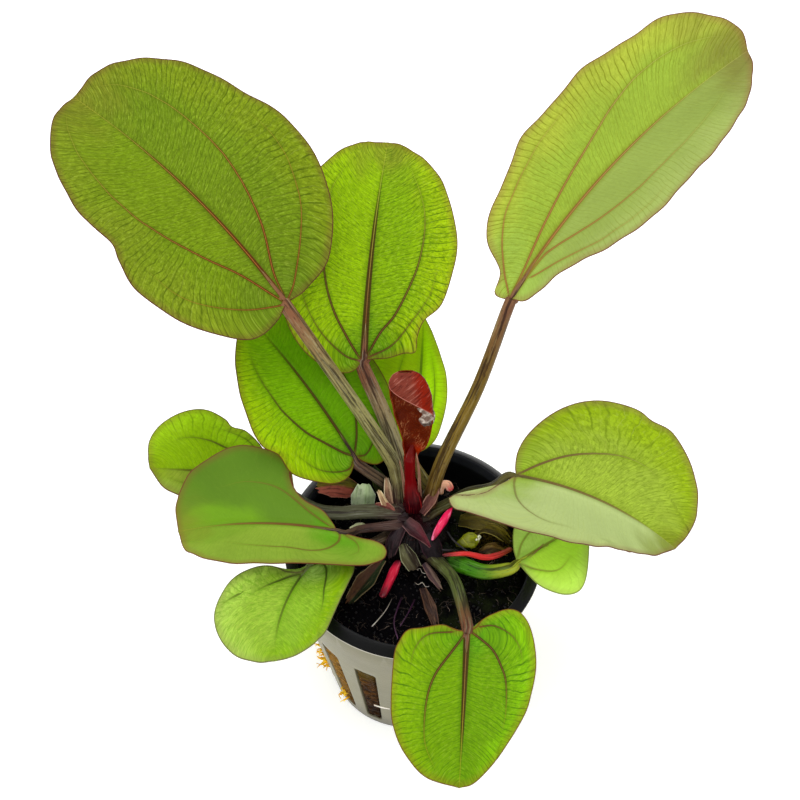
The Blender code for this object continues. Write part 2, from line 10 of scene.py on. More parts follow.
import bmesh
import bpy
import numpy as np
from mathutils import Matrix, Vector, noise


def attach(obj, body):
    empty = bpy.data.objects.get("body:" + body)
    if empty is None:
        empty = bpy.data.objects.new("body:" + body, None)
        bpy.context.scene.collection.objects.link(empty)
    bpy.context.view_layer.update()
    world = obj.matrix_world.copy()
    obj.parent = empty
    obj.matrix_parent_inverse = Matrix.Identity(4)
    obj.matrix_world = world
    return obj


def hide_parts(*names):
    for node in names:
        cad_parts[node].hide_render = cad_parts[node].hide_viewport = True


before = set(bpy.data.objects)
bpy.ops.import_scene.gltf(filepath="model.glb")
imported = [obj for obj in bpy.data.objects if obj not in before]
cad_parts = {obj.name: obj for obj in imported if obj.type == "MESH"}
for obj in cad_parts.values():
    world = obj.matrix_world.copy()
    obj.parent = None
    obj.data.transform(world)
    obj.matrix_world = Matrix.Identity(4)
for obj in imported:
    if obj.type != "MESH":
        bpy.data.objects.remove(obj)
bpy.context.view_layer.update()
MM = 0.001

# The camera stands where the photographer stood: above the plant's front, looking down at it with a
# moderately long lens, and turned a little about its own axis.

CAMERA_PLACE = (-4.5, -217.0, 386.0)
LOOKING_DOWN = radians(52.7)
CAMERA_TURN = radians(3.0)
LENS = 84.375
SENSOR = 36.0
NEAREST = 10.0
FURTHEST = 20000.0


def add_object(name, data):
    thing = bpy.data.objects.new(name, data)
    bpy.context.scene.collection.objects.link(thing)
    return thing


lens = bpy.data.cameras.new("camera")
lens.lens = LENS
lens.sensor_width = SENSOR
lens.clip_start = NEAREST * MM
lens.clip_end = FURTHEST * MM
camera = add_object("camera", lens)
camera.matrix_world = (Matrix.Translation(Vector(CAMERA_PLACE) * MM)
                       @ Matrix.Rotation(pi / 2 - LOOKING_DOWN, 4, "X")
                       @ Matrix.Rotation(CAMERA_TURN, 4, "Z"))
bpy.context.scene.camera = camera
bpy.context.scene.view_settings.view_transform = "Standard"

# The floor is the white top of a light table that glows a little, in a small product studio: a big soft
# light overhead, one from the left and a weak one from the front, with white all round.

FLOOR_SIZE = 6000.0
FLOOR_DROP = 0.02
TABLE_GLOW = 0.35
WORLD_LIGHT = 0.8
LAMPS = {
    "overhead": ((-150.0, 120.0, 900.0), 900.0, 4.8),
    "left": ((-800.0, -150.0, 500.0), 500.0, 2.2),
    "front": ((300.0, -900.0, 600.0), 600.0, 2.2),
}
LAMP_TARGET = Vector((0.0, 10.0, 40.0)) * MM


class Signal:
    """An output socket. Sums and products of signals add their Math nodes to the tree."""

    def __init__(self, graph, socket):
        self.graph = graph
        self.socket = socket

    def other(self, name):
        """Another output of the same node."""
        return Signal(self.graph, self.socket.node.outputs[name])

    def math(self, operation, first, second=0.0):
        return self.graph.node("ShaderNodeMath", {"operation": operation}, {0: first, 1: second})

    def __add__(self, other):
        return self.math("ADD", self, other)

    def __sub__(self, other):
        return self.math("SUBTRACT", self, other)

    def __rsub__(self, other):
        return self.math("SUBTRACT", other, self)

    def __mul__(self, other):
        return self.math("MULTIPLY", self, other)

    def __truediv__(self, other):
        return self.math("DIVIDE", self, other)

    def __abs__(self):
        return self.math("ABSOLUTE", self)

    __radd__ = __add__
    __rmul__ = __mul__


class Graph:
    """A tree of nodes for a material or for Geometry Nodes."""

    def __init__(self, tree):
        self.tree = tree
        tree.nodes.clear()

    def node(self, kind, settings=None, inputs=None, output=0):
        """Add a node: its type, its settings, then the values or signals of its sockets."""
        made = self.tree.nodes.new(kind)
        for key, value in (settings or {}).items():
            setattr(made, key, value)
        for key, value in (inputs or {}).items():
            if isinstance(value, Signal):
                self.tree.links.new(value.socket, made.inputs[key])
            else:
                made.inputs[key].default_value = value
        return Signal(self, made.outputs[output]) if made.outputs else None


def paint(red, green, blue):
    """A colour as it is seen on a screen, from 0 to 255, as a shader's linear colour."""
    shares = [part / 255 for part in (red, green, blue)]
    return (*[s / 12.92 if s <= 0.04045 else ((s + 0.055) / 1.055) ** 2.4 for s in shares], 1.0)


class Finish(Graph):
    """A material that is made up of coats of colour, a roughness and a relief."""

    def __init__(self, name):
        self.material = bpy.data.materials.new(name)
        self.material.use_nodes = True
        super().__init__(self.material.node_tree)

    def place(self, scale=(1.0, 1.0, 1.0)):
        """The point on the piece in millimetres, scaled."""
        point = self.node("ShaderNodeTexCoord", output="Object")
        return self.node("ShaderNodeMapping", {}, {"Vector": point, "Scale": tuple(s / MM for s in scale)})

    def mark(self, name):
        """A vector that the mesh carries at its corners."""
        return self.node("ShaderNodeAttribute", {"attribute_name": name}, output="Vector")

    def split(self, vector):
        """The three numbers of a vector."""
        x = self.node("ShaderNodeSeparateXYZ", {}, {0: vector})
        return x, x.other("Y"), x.other("Z")

    def joined(self, x, y, z=0.0):
        return self.node("ShaderNodeCombineXYZ", {}, {0: x, 1: y, 2: z})

    def distance(self, x, y):
        """How far (x, y) lies from nought."""
        return self.node("ShaderNodeVectorMath", {"operation": "LENGTH"}, {0: self.joined(x, y)},
                         output="Value")

    def cloud(self, vector, scale=1.0, detail=2.0, roughness=0.5, distortion=0.0):
        """Soft noise from 0 to 1."""
        return self.node("ShaderNodeTexNoise", {}, {"Vector": vector, "Scale": scale, "Detail": detail,
                                                    "Roughness": roughness, "Distortion": distortion})

    def step(self, value, low, high):
        """0 below low, 1 above high, and smooth between them. It falls where high is the lower."""
        return self.node("ShaderNodeMapRange", {"interpolation_type": "SMOOTHSTEP"},
                         {"Value": value, "From Min": low, "From Max": high})

    def mix(self, share, below, above, blend="MIX"):
        """One colour laid over another."""
        return self.node("ShaderNodeMix", {"data_type": "RGBA", "blend_type": blend},
                         {0: share, 6: below, 7: above}, output=2)

    def tint(self, colour, tone, value, low, high, strength=1.0):
        """Lay a tone, in parts from 0 to 255, over a colour where a value goes from low to high."""
        share = self.step(value, low, high)
        return self.mix(share * strength if strength < 1.0 else share, colour, paint(*tone))

    def surface(self, colour, roughness, height=None, relief=0.05, strength=1.0, through=0.0, **fixed):
        """Close the material. relief is the height's depth in millimetres, through the share of light
        that passes, and fixed holds the shader's plain values."""
        inputs = {"Base Color": colour, "Roughness": roughness}
        inputs.update({key.replace("_", " "): value for key, value in fixed.items()})
        if height is not None:
            inputs["Normal"] = self.node("ShaderNodeBump", {}, {"Height": height, "Distance": relief * MM,
                                                                "Strength": strength})
        shader = self.node("ShaderNodeBsdfPrincipled", {}, inputs)
        if through:
            glow = self.node("ShaderNodeBsdfTranslucent", {}, {"Color": colour})
            shader = self.node("ShaderNodeMixShader", {}, {0: through, 1: shader, 2: glow})
        self.node("ShaderNodeOutputMaterial", {}, {"Surface": shader})
        return self.material


def make_floor():
    paper = Finish("white_paper")
    grain = paper.cloud(paper.place(), 0.6, 3.0)
    mesh = bpy.data.meshes.new("floor")
    half = FLOOR_SIZE * MM / 2
    corners = [(-half, -half), (half, -half), (half, half), (-half, half)]
    mesh.from_pydata([(x, y, -FLOOR_DROP * MM) for x, y in corners], [], [(0, 1, 2, 3)])
    mesh.materials.append(paper.surface(paint(247, 247, 246), 0.8 + 0.1 * grain, grain, 0.02,
                                        Emission_Color=(1.0, 1.0, 1.0, 1.0), Emission_Strength=TABLE_GLOW))
    add_object("floor", mesh)


def make_lamp(name, place, size, power):
    lamp = bpy.data.lights.new(name, "AREA")
    lamp.shape = "DISK"
    lamp.size = size * MM
    lamp.energy = power
    holder = add_object(name, lamp)
    holder.location = Vector(place) * MM
    holder.rotation_euler = (LAMP_TARGET - holder.location).to_track_quat("-Z", "Y").to_euler()


make_floor()
for lamp_name, (lamp_place, lamp_size, lamp_power) in LAMPS.items():
    make_lamp(lamp_name, lamp_place, lamp_size, lamp_power)
world = bpy.data.worlds.new("white_room")
world.use_nodes = True
world.node_tree.nodes["Background"].inputs["Color"].default_value = (1.0, 1.0, 1.0, 1.0)
world.node_tree.nodes["Background"].inputs["Strength"].default_value = WORLD_LIGHT
bpy.context.scene.world = world

# The net pot: one thin moulding of black plastic. Its wall is cut by a row of tall slots for the roots,
# and a collar slopes down from its lip to a sharp edge. The outer wall's grey is a painted sheen.

FOOT_RADIUS = 16.75
EDGE_RADIUS = 27.5
EDGE_HEIGHT = 50.0
LIP_RADIUS = 24.9
LIP_HEIGHT = 51.6
LIP_ROUND = 0.4
WALL = 1.2
SLOTS = 16
FIRST_SLOT = radians(-112.0)
SLOT_HALF_ANGLE = radians(6.0)
SLOT_FOOT = 3.0
SLOT_TOP = 34.5
SLOT_CORNER = 0.9
SLOT_CORNER_ANGLE = radians(2.2)
POT_BEVEL = 0.22
BEVELLED_FROM = radians(40)
SHARP_FROM = radians(35)
WALL_RINGS = (0.0, 0.16, 0.55, 1.0)
POT_WELD = 0.01


def wall_radius(height):
    return FOOT_RADIUS + (EDGE_RADIUS - FOOT_RADIUS) * height / EDGE_HEIGHT


class Skin:
    """The points and faces of one piece in millimetres, gathered before they become a mesh."""

    def __init__(self):
        self.points = []
        self.faces = []
        self.slots = []
        self.marks = {}

    def add(self, points, faces, slot=0, **marks):
        """Add points with their faces, and for each mark a vector per point."""
        start = len(self.points)
        self.points.extend(tuple(p) for p in points)
        self.faces.extend([start + i for i in face] for face in faces)
        self.slots.extend([slot] * len(faces))
        for name, values in marks.items():
            column = self.marks.setdefault(name, [])
            column.extend([(0.0, 0.0, 0.0)] * (start - len(column)))
            column.extend(tuple(v) for v in values)

    def grid(self, points, slot=0, round_=False, **marks):
        """Add rows of points as a sheet, or as a tube where each row closes on itself."""
        points = np.asarray(points, float)
        rows, columns = points.shape[:2]
        faces = []
        for i in range(rows - 1):
            low, high = i * columns, (i + 1) * columns
            for j in range(columns if round_ else columns - 1):
                n = (j + 1) % columns
                faces.append((low + j, low + n, high + n, high + j))
        flat = {name: np.asarray(v, float).reshape(-1, 3) for name, v in marks.items()}
        self.add(points.reshape(-1, 3), faces, slot, **flat)

    def tube(self, points, slot=0, **marks):
        """Add rings of points as a closed tube with a fan at each end."""
        points = np.asarray(points, float)
        sides = points.shape[1]
        start = points[:1].mean(axis=1, keepdims=True).repeat(sides, axis=1)
        end = points[-1:].mean(axis=1, keepdims=True).repeat(sides, axis=1)
        closed = {}
        for name, values in marks.items():
            values = np.asarray(values, float)
            closed[name] = np.concatenate([values[:1], values, values[-1:]])
        self.grid(np.concatenate([start, points, end]), slot, True, **closed)

    def piece(self, name, materials, merge=0.003, sharp=50.0, turn_out=True):
        """Weld the points and make the object, in metres."""
        mesh = bpy.data.meshes.new(name)
        mesh.from_pydata(self.points, [], self.faces)
        mesh.polygons.foreach_set("material_index", self.slots)
        corners = np.empty(len(mesh.loops), int)
        mesh.loops.foreach_get("vertex_index", corners)
        for mark, values in self.marks.items():
            values = values + [(0.0, 0.0, 0.0)] * (len(self.points) - len(values))
            layer = mesh.attributes.new(mark, "FLOAT_VECTOR", "CORNER")
            layer.data.foreach_set("vector", np.array(values, np.float32)[corners].ravel())
        shape = bmesh.new()
        shape.from_mesh(mesh)
        bmesh.ops.remove_doubles(shape, verts=shape.verts, dist=merge)
        bmesh.ops.dissolve_degenerate(shape, edges=shape.edges, dist=merge / 3)
        if turn_out:
            bmesh.ops.recalc_face_normals(shape, faces=shape.faces)
        bmesh.ops.scale(shape, vec=(MM, MM, MM), verts=shape.verts)
        shape.to_mesh(mesh)
        shape.free()
        for material in materials:
            mesh.materials.append(material)
        mesh.shade_smooth()
        mesh.set_sharp_from_angle(angle=radians(sharp))
        return add_object(name, mesh)


def hand_over(piece, node="", slot=""):
    """Fix a piece to the one body. With a slot it also stands for that node of the model."""
    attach(piece, "root")
    if slot:
        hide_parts(node)


def settle(thing):
    """Turn an object's modifiers into plain mesh."""
    graph = bpy.context.evaluated_depsgraph_get()
    mesh = bpy.data.meshes.new_from_object(thing.evaluated_get(graph))
    thing.modifiers.clear()
    thing.data = mesh
    return thing


def new_tree(name, sizes):
    """A Geometry Nodes tree with named inputs: each name has its socket type and value."""
    tree = bpy.data.node_groups.new(name, "GeometryNodeTree")
    tree.interface.new_socket("Geometry", in_out="INPUT", socket_type="NodeSocketGeometry")
    for key, (kind, value) in sizes.items():
        socket = tree.interface.new_socket(key, in_out="INPUT", socket_type="NodeSocket" + kind)
        if value is not None:
            socket.default_value = value
    tree.interface.new_socket("Geometry", in_out="OUTPUT", socket_type="NodeSocketGeometry")
    return tree


def apply_tree(thing, tree, **values):
    """Run a tree on an object with the given inputs, and keep the result as plain mesh."""
    modifier = thing.modifiers.new("nodes", "NODES")
    modifier.node_group = tree
    for item in tree.interface.items_tree:
        if item.in_out == "INPUT" and item.name in values:
            modifier[item.identifier] = values[item.name]
    return settle(thing)


def slot_loops(low, high):
    """The slot's rounded outline and the outline of its share of the wall, as (angle, height) pairs."""
    wide, foot, top = SLOT_HALF_ANGLE, SLOT_FOOT, SLOT_TOP
    half_pitch = pi / SLOTS
    inner, outer = [], []

    def outer_height(z):
        return low + (z - foot) / (top - foot) * (high - low)

    flat = wide - SLOT_CORNER_ANGLE
    across = [flat * (k / 2 - 1) for k in range(5)]
    up = [foot + SLOT_CORNER + (top - foot - 2 * SLOT_CORNER) * k / 6 for k in range(7)]
    outer_across = [a / wide * half_pitch for a in across]
    outer_up = [outer_height(z) for z in up]
    middle_across = (outer_across[-1] + half_pitch) / 2
    sides = (
        ([(a, foot) for a in across], [(a, low) for a in outer_across], (1, -1)),
        ([(wide, z) for z in up], [(half_pitch, z) for z in outer_up], (1, 1)),
        ([(-a, top) for a in across], [(-a, high) for a in outer_across], (-1, 1)),
        ([(-wide, z) for z in up[::-1]], [(-half_pitch, z) for z in outer_up[::-1]], (-1, -1)),
    )
    for turn, (inside, outside, (x, y)) in enumerate(sides):
        inner += inside
        outer += outside
        centre = (x * flat, top - SLOT_CORNER if y > 0 else foot + SLOT_CORNER)
        begin = -pi / 2 + turn * pi / 2
        for k in (1, 2, 3):
            angle = begin + k * pi / 8
            inner.append((centre[0] + SLOT_CORNER_ANGLE * cos(angle), centre[1] + SLOT_CORNER * sin(angle)))
        edge = high if y > 0 else low
        near_up = (outer_up[-1 if y > 0 else 0] + edge) / 2
        corner = [(x * middle_across, edge), (x * half_pitch, edge), (x * half_pitch, near_up)]
        outer += corner if turn % 2 == 0 else corner[::-1]
    return inner, outer


def make_pot_wall(material):
    """One slot's share of the pot. Geometry Nodes set it round the axis and weld it."""
    sector = Skin()

    def cone(pairs, depth):
        return [((wall_radius(z) - depth) * cos(a), (wall_radius(z) - depth) * sin(a), z) for a, z in pairs]

    lip_foot = EDGE_HEIGHT * (LIP_RADIUS + WALL - FOOT_RADIUS) / (EDGE_RADIUS - FOOT_RADIUS)
    walls = []
    for depth, low, high in ((0.0, 0.0, EDGE_HEIGHT), (WALL, WALL, lip_foot)):
        inner, outer = slot_loops(low, high)
        rings = []
        for share in WALL_RINGS:
            rings.append([(a + (c - a) * share, b + (d - b) * share)
                          for (a, b), (c, d) in zip(inner, outer)])
        sector.grid([cone(ring, depth) for ring in rings], round_=True)
        walls.append((inner, outer))
    sector.grid([cone(walls[0][0], 0.0), cone(walls[1][0], WALL)], round_=True)

    angles = sorted({round(a, 9) for a, z in walls[0][1] if z == EDGE_HEIGHT})
    collar = [(EDGE_RADIUS, EDGE_HEIGHT), (LIP_RADIUS + LIP_ROUND, LIP_HEIGHT),
              (LIP_RADIUS, LIP_HEIGHT - LIP_ROUND), (LIP_RADIUS, lip_foot)]
    sector.grid([[(r * cos(a), r * sin(a), z) for a in angles] for r, z in collar])
    for radius, height in ((FOOT_RADIUS, 0.0), (wall_radius(WALL) - WALL, WALL)):
        sector.grid([[(r * cos(a), r * sin(a), height) for a in angles] for r in (radius, radius / 2, 0.0)])
    pot = sector.piece("pot_moulding", [material], turn_out=False)

    tree = new_tree("set_round_axis", {"Count": ("Int", 8), "First turn": ("Float", 0.0),
                                       "Weld": ("Float", 0.0), "Material": ("Material", None)})
    graph = Graph(tree)
    group = graph.node("NodeGroupInput")
    count, first = group.other("Count"), group.other("First turn")
    index = graph.node("GeometryNodeInputIndex")
    turn = graph.node("ShaderNodeCombineXYZ", {}, {2: first + index * 2 * pi / count})
    spots = graph.node("GeometryNodeMeshLine", {}, {"Count": count, "Offset": (0.0, 0.0, 0.0)})
    ring = graph.node("GeometryNodeInstanceOnPoints", {}, {"Points": spots, "Instance": group,
                                                           "Rotation": turn})
    solid = graph.node("GeometryNodeRealizeInstances", {}, {"Geometry": ring})
    welded = graph.node("GeometryNodeMergeByDistance", {}, {"Geometry": solid,
                                                            "Distance": group.other("Weld")})
    coated = graph.node("GeometryNodeSetMaterial", {}, {"Geometry": welded,
                                                        "Material": group.other("Material")})
    graph.node("NodeGroupOutput", {}, {"Geometry": coated})
    apply_tree(pot, tree, Count=SLOTS, Weld=POT_WELD * MM, Material=material, **{"First turn": FIRST_SLOT})
    shape = bmesh.new()
    shape.from_mesh(pot.data)
    bmesh.ops.recalc_face_normals(shape, faces=shape.faces)
    shape.to_mesh(pot.data)
    shape.free()
    round_edges = pot.modifiers.new("round_edges", "BEVEL")
    round_edges.width = POT_BEVEL * MM
    round_edges.segments = 2
    round_edges.limit_method = "ANGLE"
    round_edges.angle_limit = BEVELLED_FROM
    settle(pot)
    pot.data.shade_smooth()
    pot.data.set_sharp_from_angle(angle=SHARP_FROM)
    return pot


def pot_plastic():
    finish = Finish("pot_plastic")
    point = finish.place()
    x, y, z = finish.split(point)
    radius = finish.distance(x, y)
    wall = FOOT_RADIUS - 0.9 + (EDGE_RADIUS - FOOT_RADIUS) / EDGE_HEIGHT * z
    outside = finish.step(radius - wall, 0.0, 0.3) * finish.step(z, EDGE_HEIGHT - 0.02, EDGE_HEIGHT - 0.1)
    blotches = finish.cloud(point, 0.12, 4.0)
    scuffs = finish.cloud(finish.place((0.2, 0.2, 1.6)), 1.0, 5.0, 0.65)
    grain = finish.cloud(point, 2.5, 3.0)
    # Painted sheen: the outer wall of black plastic is painted grey for the pale light that it reflects.
    grey = finish.mix(blotches, paint(106, 102, 80), paint(124, 119, 94))
    grey = finish.tint(grey, (150, 146, 127), scuffs, 0.55, 0.75, 0.35)
    # Painted shade: the wall darkens towards the foot, and most at the foot's edge.
    grey = finish.tint(grey, (84, 80, 68), z, 9.0, 0.0, 0.6)
    grey = finish.tint(grey, (40, 38, 36), z, 1.1, 0.4, 0.8)
    # Painted highlight: a thin light line just under the collar's sharp edge.
    grey = finish.tint(grey, (214, 210, 198), z, EDGE_HEIGHT - 0.4, EDGE_HEIGHT - 0.2, 0.7)
    black = finish.mix(blotches, paint(4, 4, 5), paint(12, 12, 12))
    black = finish.tint(black, (50, 50, 50), scuffs, 0.6, 0.78, 0.3)
    # Painted sheen: a lighter bluish band on the inner face just under the lip.
    painted_lip_sheen = finish.step(z, LIP_HEIGHT - 3.4, LIP_HEIGHT - 2.4) * finish.step(radius, LIP_RADIUS + 0.5,
                                                                                 LIP_RADIUS + 0.1)
    black = finish.mix(painted_lip_sheen * 0.8, black, paint(36, 38, 42))
    colour = finish.mix(outside, black, grey)
    return finish.surface(colour, 0.24 + 0.2 * scuffs, grain + scuffs, 0.03, Specular_IOR_Level=0.13)


hand_over(make_pot_wall(pot_plastic()), "pot", "pot_plastic")

# The growing medium: a plug of rock wool, soaked and black on top with algae and old roots, and still
# golden brown where it shows through the pot's slots. One loose tuft of it lies at the right.

MEDIUM_TOP = 41.6
MEDIUM_GAP = 0.35
MEDIUM_ROUND = 1.6
MEDIUM_SIDES = 368
MEDIUM_TOP_ROWS = 70
MEDIUM_WALL_ROWS = 100
SLOT_SWELL = 0.5
LUMP_RISE = 1.5
LUMP_SIZE = 5.5
TUFT_SIZE = 0.9
LUMP_MARGIN = 1.0
LUMP_FADE = 4.0
CLUMP = (17.2, 8.6)
CLUMP_RADIUS = 4.2
CLUMP_RISE = 2.4
WALL_RELIEF = 0.3
TUFT_RISE = 0.22
ROUNDED_FROM = 0.75
CROWN = np.array((0.0, 8.0, 42.0))
CROWN_RADIUS = 8.0
CROWN_RISE = 8.5
CRUMBS_PER_SQUARE_METRE = 620000.0
CRUMB_SIZES = (0.1, 0.34)
CRUMB_BEND = 0.3
THREADS_PER_SQUARE_METRE = 150000.0
THREAD_RADIUS = 0.045
THREAD_LENGTHS = (1.2, 3.4)
THREAD_BEND = 1.2
FACING_UP = 0.6


def medium_height(x, y):
    from_crown = sqrt((x - CROWN[0]) ** 2 + (y - CROWN[1]) ** 2)
    fade = min(max((from_crown - CROWN_RADIUS - LUMP_MARGIN) / LUMP_FADE, 0.0), 1.0)
    lump = 0.5 + 0.5 * noise.noise(Vector((x, y, 0.0)) / LUMP_SIZE)
    tuft = noise.fractal(Vector((x, y, 4.0)) / TUFT_SIZE, 0.7, 2.0, 3)
    from_clump = sqrt((x - CLUMP[0]) ** 2 + (y - CLUMP[1]) ** 2)
    clump = CLUMP_RISE * np.exp(-(from_clump / CLUMP_RADIUS) ** 2)
    return MEDIUM_TOP + fade * (LUMP_RISE * lump + clump) + TUFT_RISE * tuft


def make_medium():
    top = MEDIUM_TOP - MEDIUM_ROUND
    rim = wall_radius(top) - WALL - MEDIUM_GAP
    angles = [2 * pi * k / MEDIUM_SIDES for k in range(MEDIUM_SIDES)]
    rows = []
    for j in range(MEDIUM_TOP_ROWS + 1):
        share = j / MEDIUM_TOP_ROWS
        radius = rim * sin(share * pi / 2) ** 0.9
        rounded = max(share - ROUNDED_FROM, 0.0) / (1.0 - ROUNDED_FROM)
        drop = MEDIUM_ROUND * (1.0 - sqrt(max(1.0 - rounded ** 2, 0.0)))
        rows.append([(radius * cos(a), radius * sin(a),
                      medium_height(radius * cos(a), radius * sin(a)) * (1 - drop / MEDIUM_ROUND)
                      + top * drop / MEDIUM_ROUND) for a in angles])
    for j in range(1, MEDIUM_WALL_ROWS + 1):
        height = top + (WALL + MEDIUM_GAP - top) * j / MEDIUM_WALL_ROWS
        radius = wall_radius(height) - WALL - MEDIUM_GAP
        level = min(height - SLOT_FOOT, SLOT_TOP - height) / SLOT_SWELL
        ring = []
        for a in angles:
            strand = noise.fractal(Vector((cos(a) * 9.0, sin(a) * 9.0, height * 0.9)), 0.8, 2.0, 4)
            off_slot = abs((a - FIRST_SLOT + pi / SLOTS) % (2 * pi / SLOTS) - pi / SLOTS)
            within = min(level, (SLOT_HALF_ANGLE - off_slot) * radius / SLOT_SWELL)
            swell = min(max(within, 0.0), 1.0) ** 0.5
            out = radius + (WALL + MEDIUM_GAP) * swell - WALL_RELIEF * (0.6 + strand)
            ring.append((out * cos(a), out * sin(a), height))
        rows.append(ring)
    rows.append([(0.0, 0.0, WALL + MEDIUM_GAP)] * MEDIUM_SIDES)
    skin = Skin()
    skin.grid(rows, round_=True)
    return skin.piece("rock_wool", [rock_wool()], merge=0.01)


def rock_wool():
    finish = Finish("rock_wool")
    point = finish.place()
    x, y, z = finish.split(point)
    clouds = finish.cloud(point, 0.22, 4.0, 0.6)
    grains = finish.cloud(point, 1.6, 5.0, 0.65)
    strands = finish.cloud(finish.place((0.5, 0.5, 2.4)), 1.0, 5.0, 0.7, 0.6)
    top = finish.mix(clouds, paint(2, 2, 4), paint(13, 11, 14))
    top = finish.tint(top, (36, 28, 24), grains, 0.56, 0.68, 0.6)
    algae = finish.step(clouds, 0.38, 0.6) * finish.step(x, 2.0, 10.0)
    top = finish.mix(algae * 0.8, top, paint(30, 36, 16))
    away = finish.distance(x - CLUMP[0], y - CLUMP[1])
    tuft = finish.tint(paint(16, 12, 2), (96, 80, 18), grains, 0.34, 0.62)
    tuft = finish.tint(tuft, (132, 112, 40), strands, 0.56, 0.7)
    top = finish.mix(finish.step(away + (clouds - 0.5) * 5.0, 6.5, 4.0), top, tuft)
    golden = finish.tint(paint(74, 46, 6), (158, 116, 46), strands, 0.38, 0.62)
    dark = finish.tint(paint(22, 10, 2), (92, 58, 22), strands, 0.42, 0.6)
    dark = finish.tint(dark, (22, 10, 4), z + (clouds - 0.5) * 14.0, 20.0, 8.0, 0.7)
    olive = finish.mix(strands, paint(60, 44, 8), paint(96, 76, 22))
    dark = finish.mix(finish.step(z + (clouds - 0.5) * 14.0, 27.0, 33.0), dark, olive)
    side = finish.mix(finish.step(x + (clouds - 0.5) * 8.0, -14.0, -9.0), golden, dark)
    side = finish.mix(finish.step(z + (clouds - 0.5) * 10.0, 35.0, 38.0), side, top)
    colour = finish.mix(finish.step(z, 38.8, 40.4), side, top)
    wet = 0.2 + 0.6 * grains
    return finish.surface(colour, wet, grains + strands, 0.5, 1.0, Specular_IOR_Level=0.02)


def random_between(graph, low, high, kind="FLOAT"):
    """A random number per point, or a random vector."""
    first, output = (2, 1) if kind == "FLOAT" else (0, 0)
    return graph.node("FunctionNodeRandomValue", {"data_type": kind}, {first: low, first + 1: high},
                      output=output)


def strewn(name, thread, ground, material, **values):
    """Strew grains, or fine bent threads, over a mesh's upward faces and keep them as one piece."""
    tree = new_tree(name, {"Density": ("Float", 1.0), "Seed": ("Int", 0), "Small": ("Float", 0.0),
                           "Large": ("Float", 0.0), "Bend": ("Float", 0.0), "Thickness": ("Float", 0.0),
                           "Material": ("Material", None)})
    graph = Graph(tree)
    group = graph.node("NodeGroupInput")
    normal = graph.node("GeometryNodeInputNormal")
    upward = graph.node("ShaderNodeSeparateXYZ", {}, {0: normal}).other("Z")
    facing = graph.node("FunctionNodeCompare", {"operation": "GREATER_THAN"}, {0: upward, 1: FACING_UP})
    spots = graph.node("GeometryNodeDistributePointsOnFaces", {},
                       {"Mesh": group, "Selection": facing, "Density": group.other("Density"),
                        "Seed": group.other("Seed")})
    if thread:
        shape = graph.node("GeometryNodeCurveQuadraticBezier", {},
                           {"Resolution": 10, "Start": (-0.5, 0.0, 0.0), "Middle": (0.0, 0.35, 0.25),
                            "End": (0.5, 0.0, 0.05)})
        turn = random_between(graph, (-0.3, -0.3, 0.0), (0.3, 0.3, 2 * pi), "FLOAT_VECTOR")
    else:
        shape = graph.node("GeometryNodeMeshIcoSphere", {}, {"Radius": 1.0, "Subdivisions": 2})
        turn = random_between(graph, (0.0, 0.0, 0.0), (2 * pi, 2 * pi, 2 * pi), "FLOAT_VECTOR")
    size = random_between(graph, group.other("Small"), group.other("Large"))
    placed = graph.node("GeometryNodeInstanceOnPoints", {}, {"Points": spots, "Instance": shape,
                                                             "Rotation": turn, "Scale": size})
    solid = graph.node("GeometryNodeRealizeInstances", {}, {"Geometry": placed})
    where = graph.node("GeometryNodeInputPosition")
    rough = graph.node("ShaderNodeTexNoise", {}, {"Vector": where, "Scale": 1.4 / MM, "Detail": 2.0},
                       output="Color")
    centred = graph.node("ShaderNodeVectorMath", {"operation": "SUBTRACT"}, {0: rough, 1: (0.5, 0.5, 0.5)})
    offset = graph.node("ShaderNodeVectorMath", {"operation": "SCALE"},
                        {0: centred, "Scale": group.other("Bend")})
    bent = graph.node("GeometryNodeSetPosition", {}, {"Geometry": solid, "Offset": offset})
    if thread:
        ring = graph.node("GeometryNodeCurvePrimitiveCircle", {}, {"Resolution": 5,
                                                                   "Radius": group.other("Thickness")})
        bent = graph.node("GeometryNodeCurveToMesh", {}, {"Curve": bent, "Profile Curve": ring,
                                                          "Fill Caps": True})
    coated = graph.node("GeometryNodeSetMaterial", {}, {"Geometry": bent,
                                                        "Material": group.other("Material")})
    graph.node("NodeGroupOutput", {}, {"Geometry": coated})
    thing = add_object(name, ground.data.copy())
    apply_tree(thing, tree, Material=material, **values)
    thing.data.shade_smooth()
    return thing


def crumb_finish():
    finish = Finish("wool_crumbs")
    shade = finish.cloud(finish.place(), 0.5, 3.0, 0.6)
    colour = finish.mix(shade, paint(3, 3, 6), paint(20, 16, 18))
    colour = finish.tint(colour, (52, 40, 28), shade, 0.58, 0.68)
    return finish.surface(colour, 0.15 + 0.4 * shade, Specular_IOR_Level=0.3)


def thread_finish():
    finish = Finish("wool_threads")
    shade = finish.cloud(finish.place(), 0.35, 2.0)
    colour = finish.mix(shade, paint(26, 20, 20), paint(84, 66, 54))
    colour = finish.tint(colour, (150, 132, 116), shade, 0.58, 0.68)
    return finish.surface(colour, 0.5, Specular_IOR_Level=0.4)


wool = make_medium()
crumbs = strewn("wool_crumbs", False, wool, crumb_finish(), Density=CRUMBS_PER_SQUARE_METRE, Seed=4,
                Small=CRUMB_SIZES[0] * MM, Large=CRUMB_SIZES[1] * MM, Bend=CRUMB_BEND * MM)
threads = strewn("wool_threads", True, wool, thread_finish(), Density=THREADS_PER_SQUARE_METRE, Seed=11,
                 Small=THREAD_LENGTHS[0] * MM, Large=THREAD_LENGTHS[1] * MM, Bend=THREAD_BEND * MM,
                 Thickness=THREAD_RADIUS * MM)
hand_over(wool, "growing_medium", "growing_medium")
hand_over(crumbs)
hand_over(threads)

# The crown: a short thick rootstock, dark purple-brown. The broad feet of old leaves overlap round it
# like scales, and every stalk rises from between them.

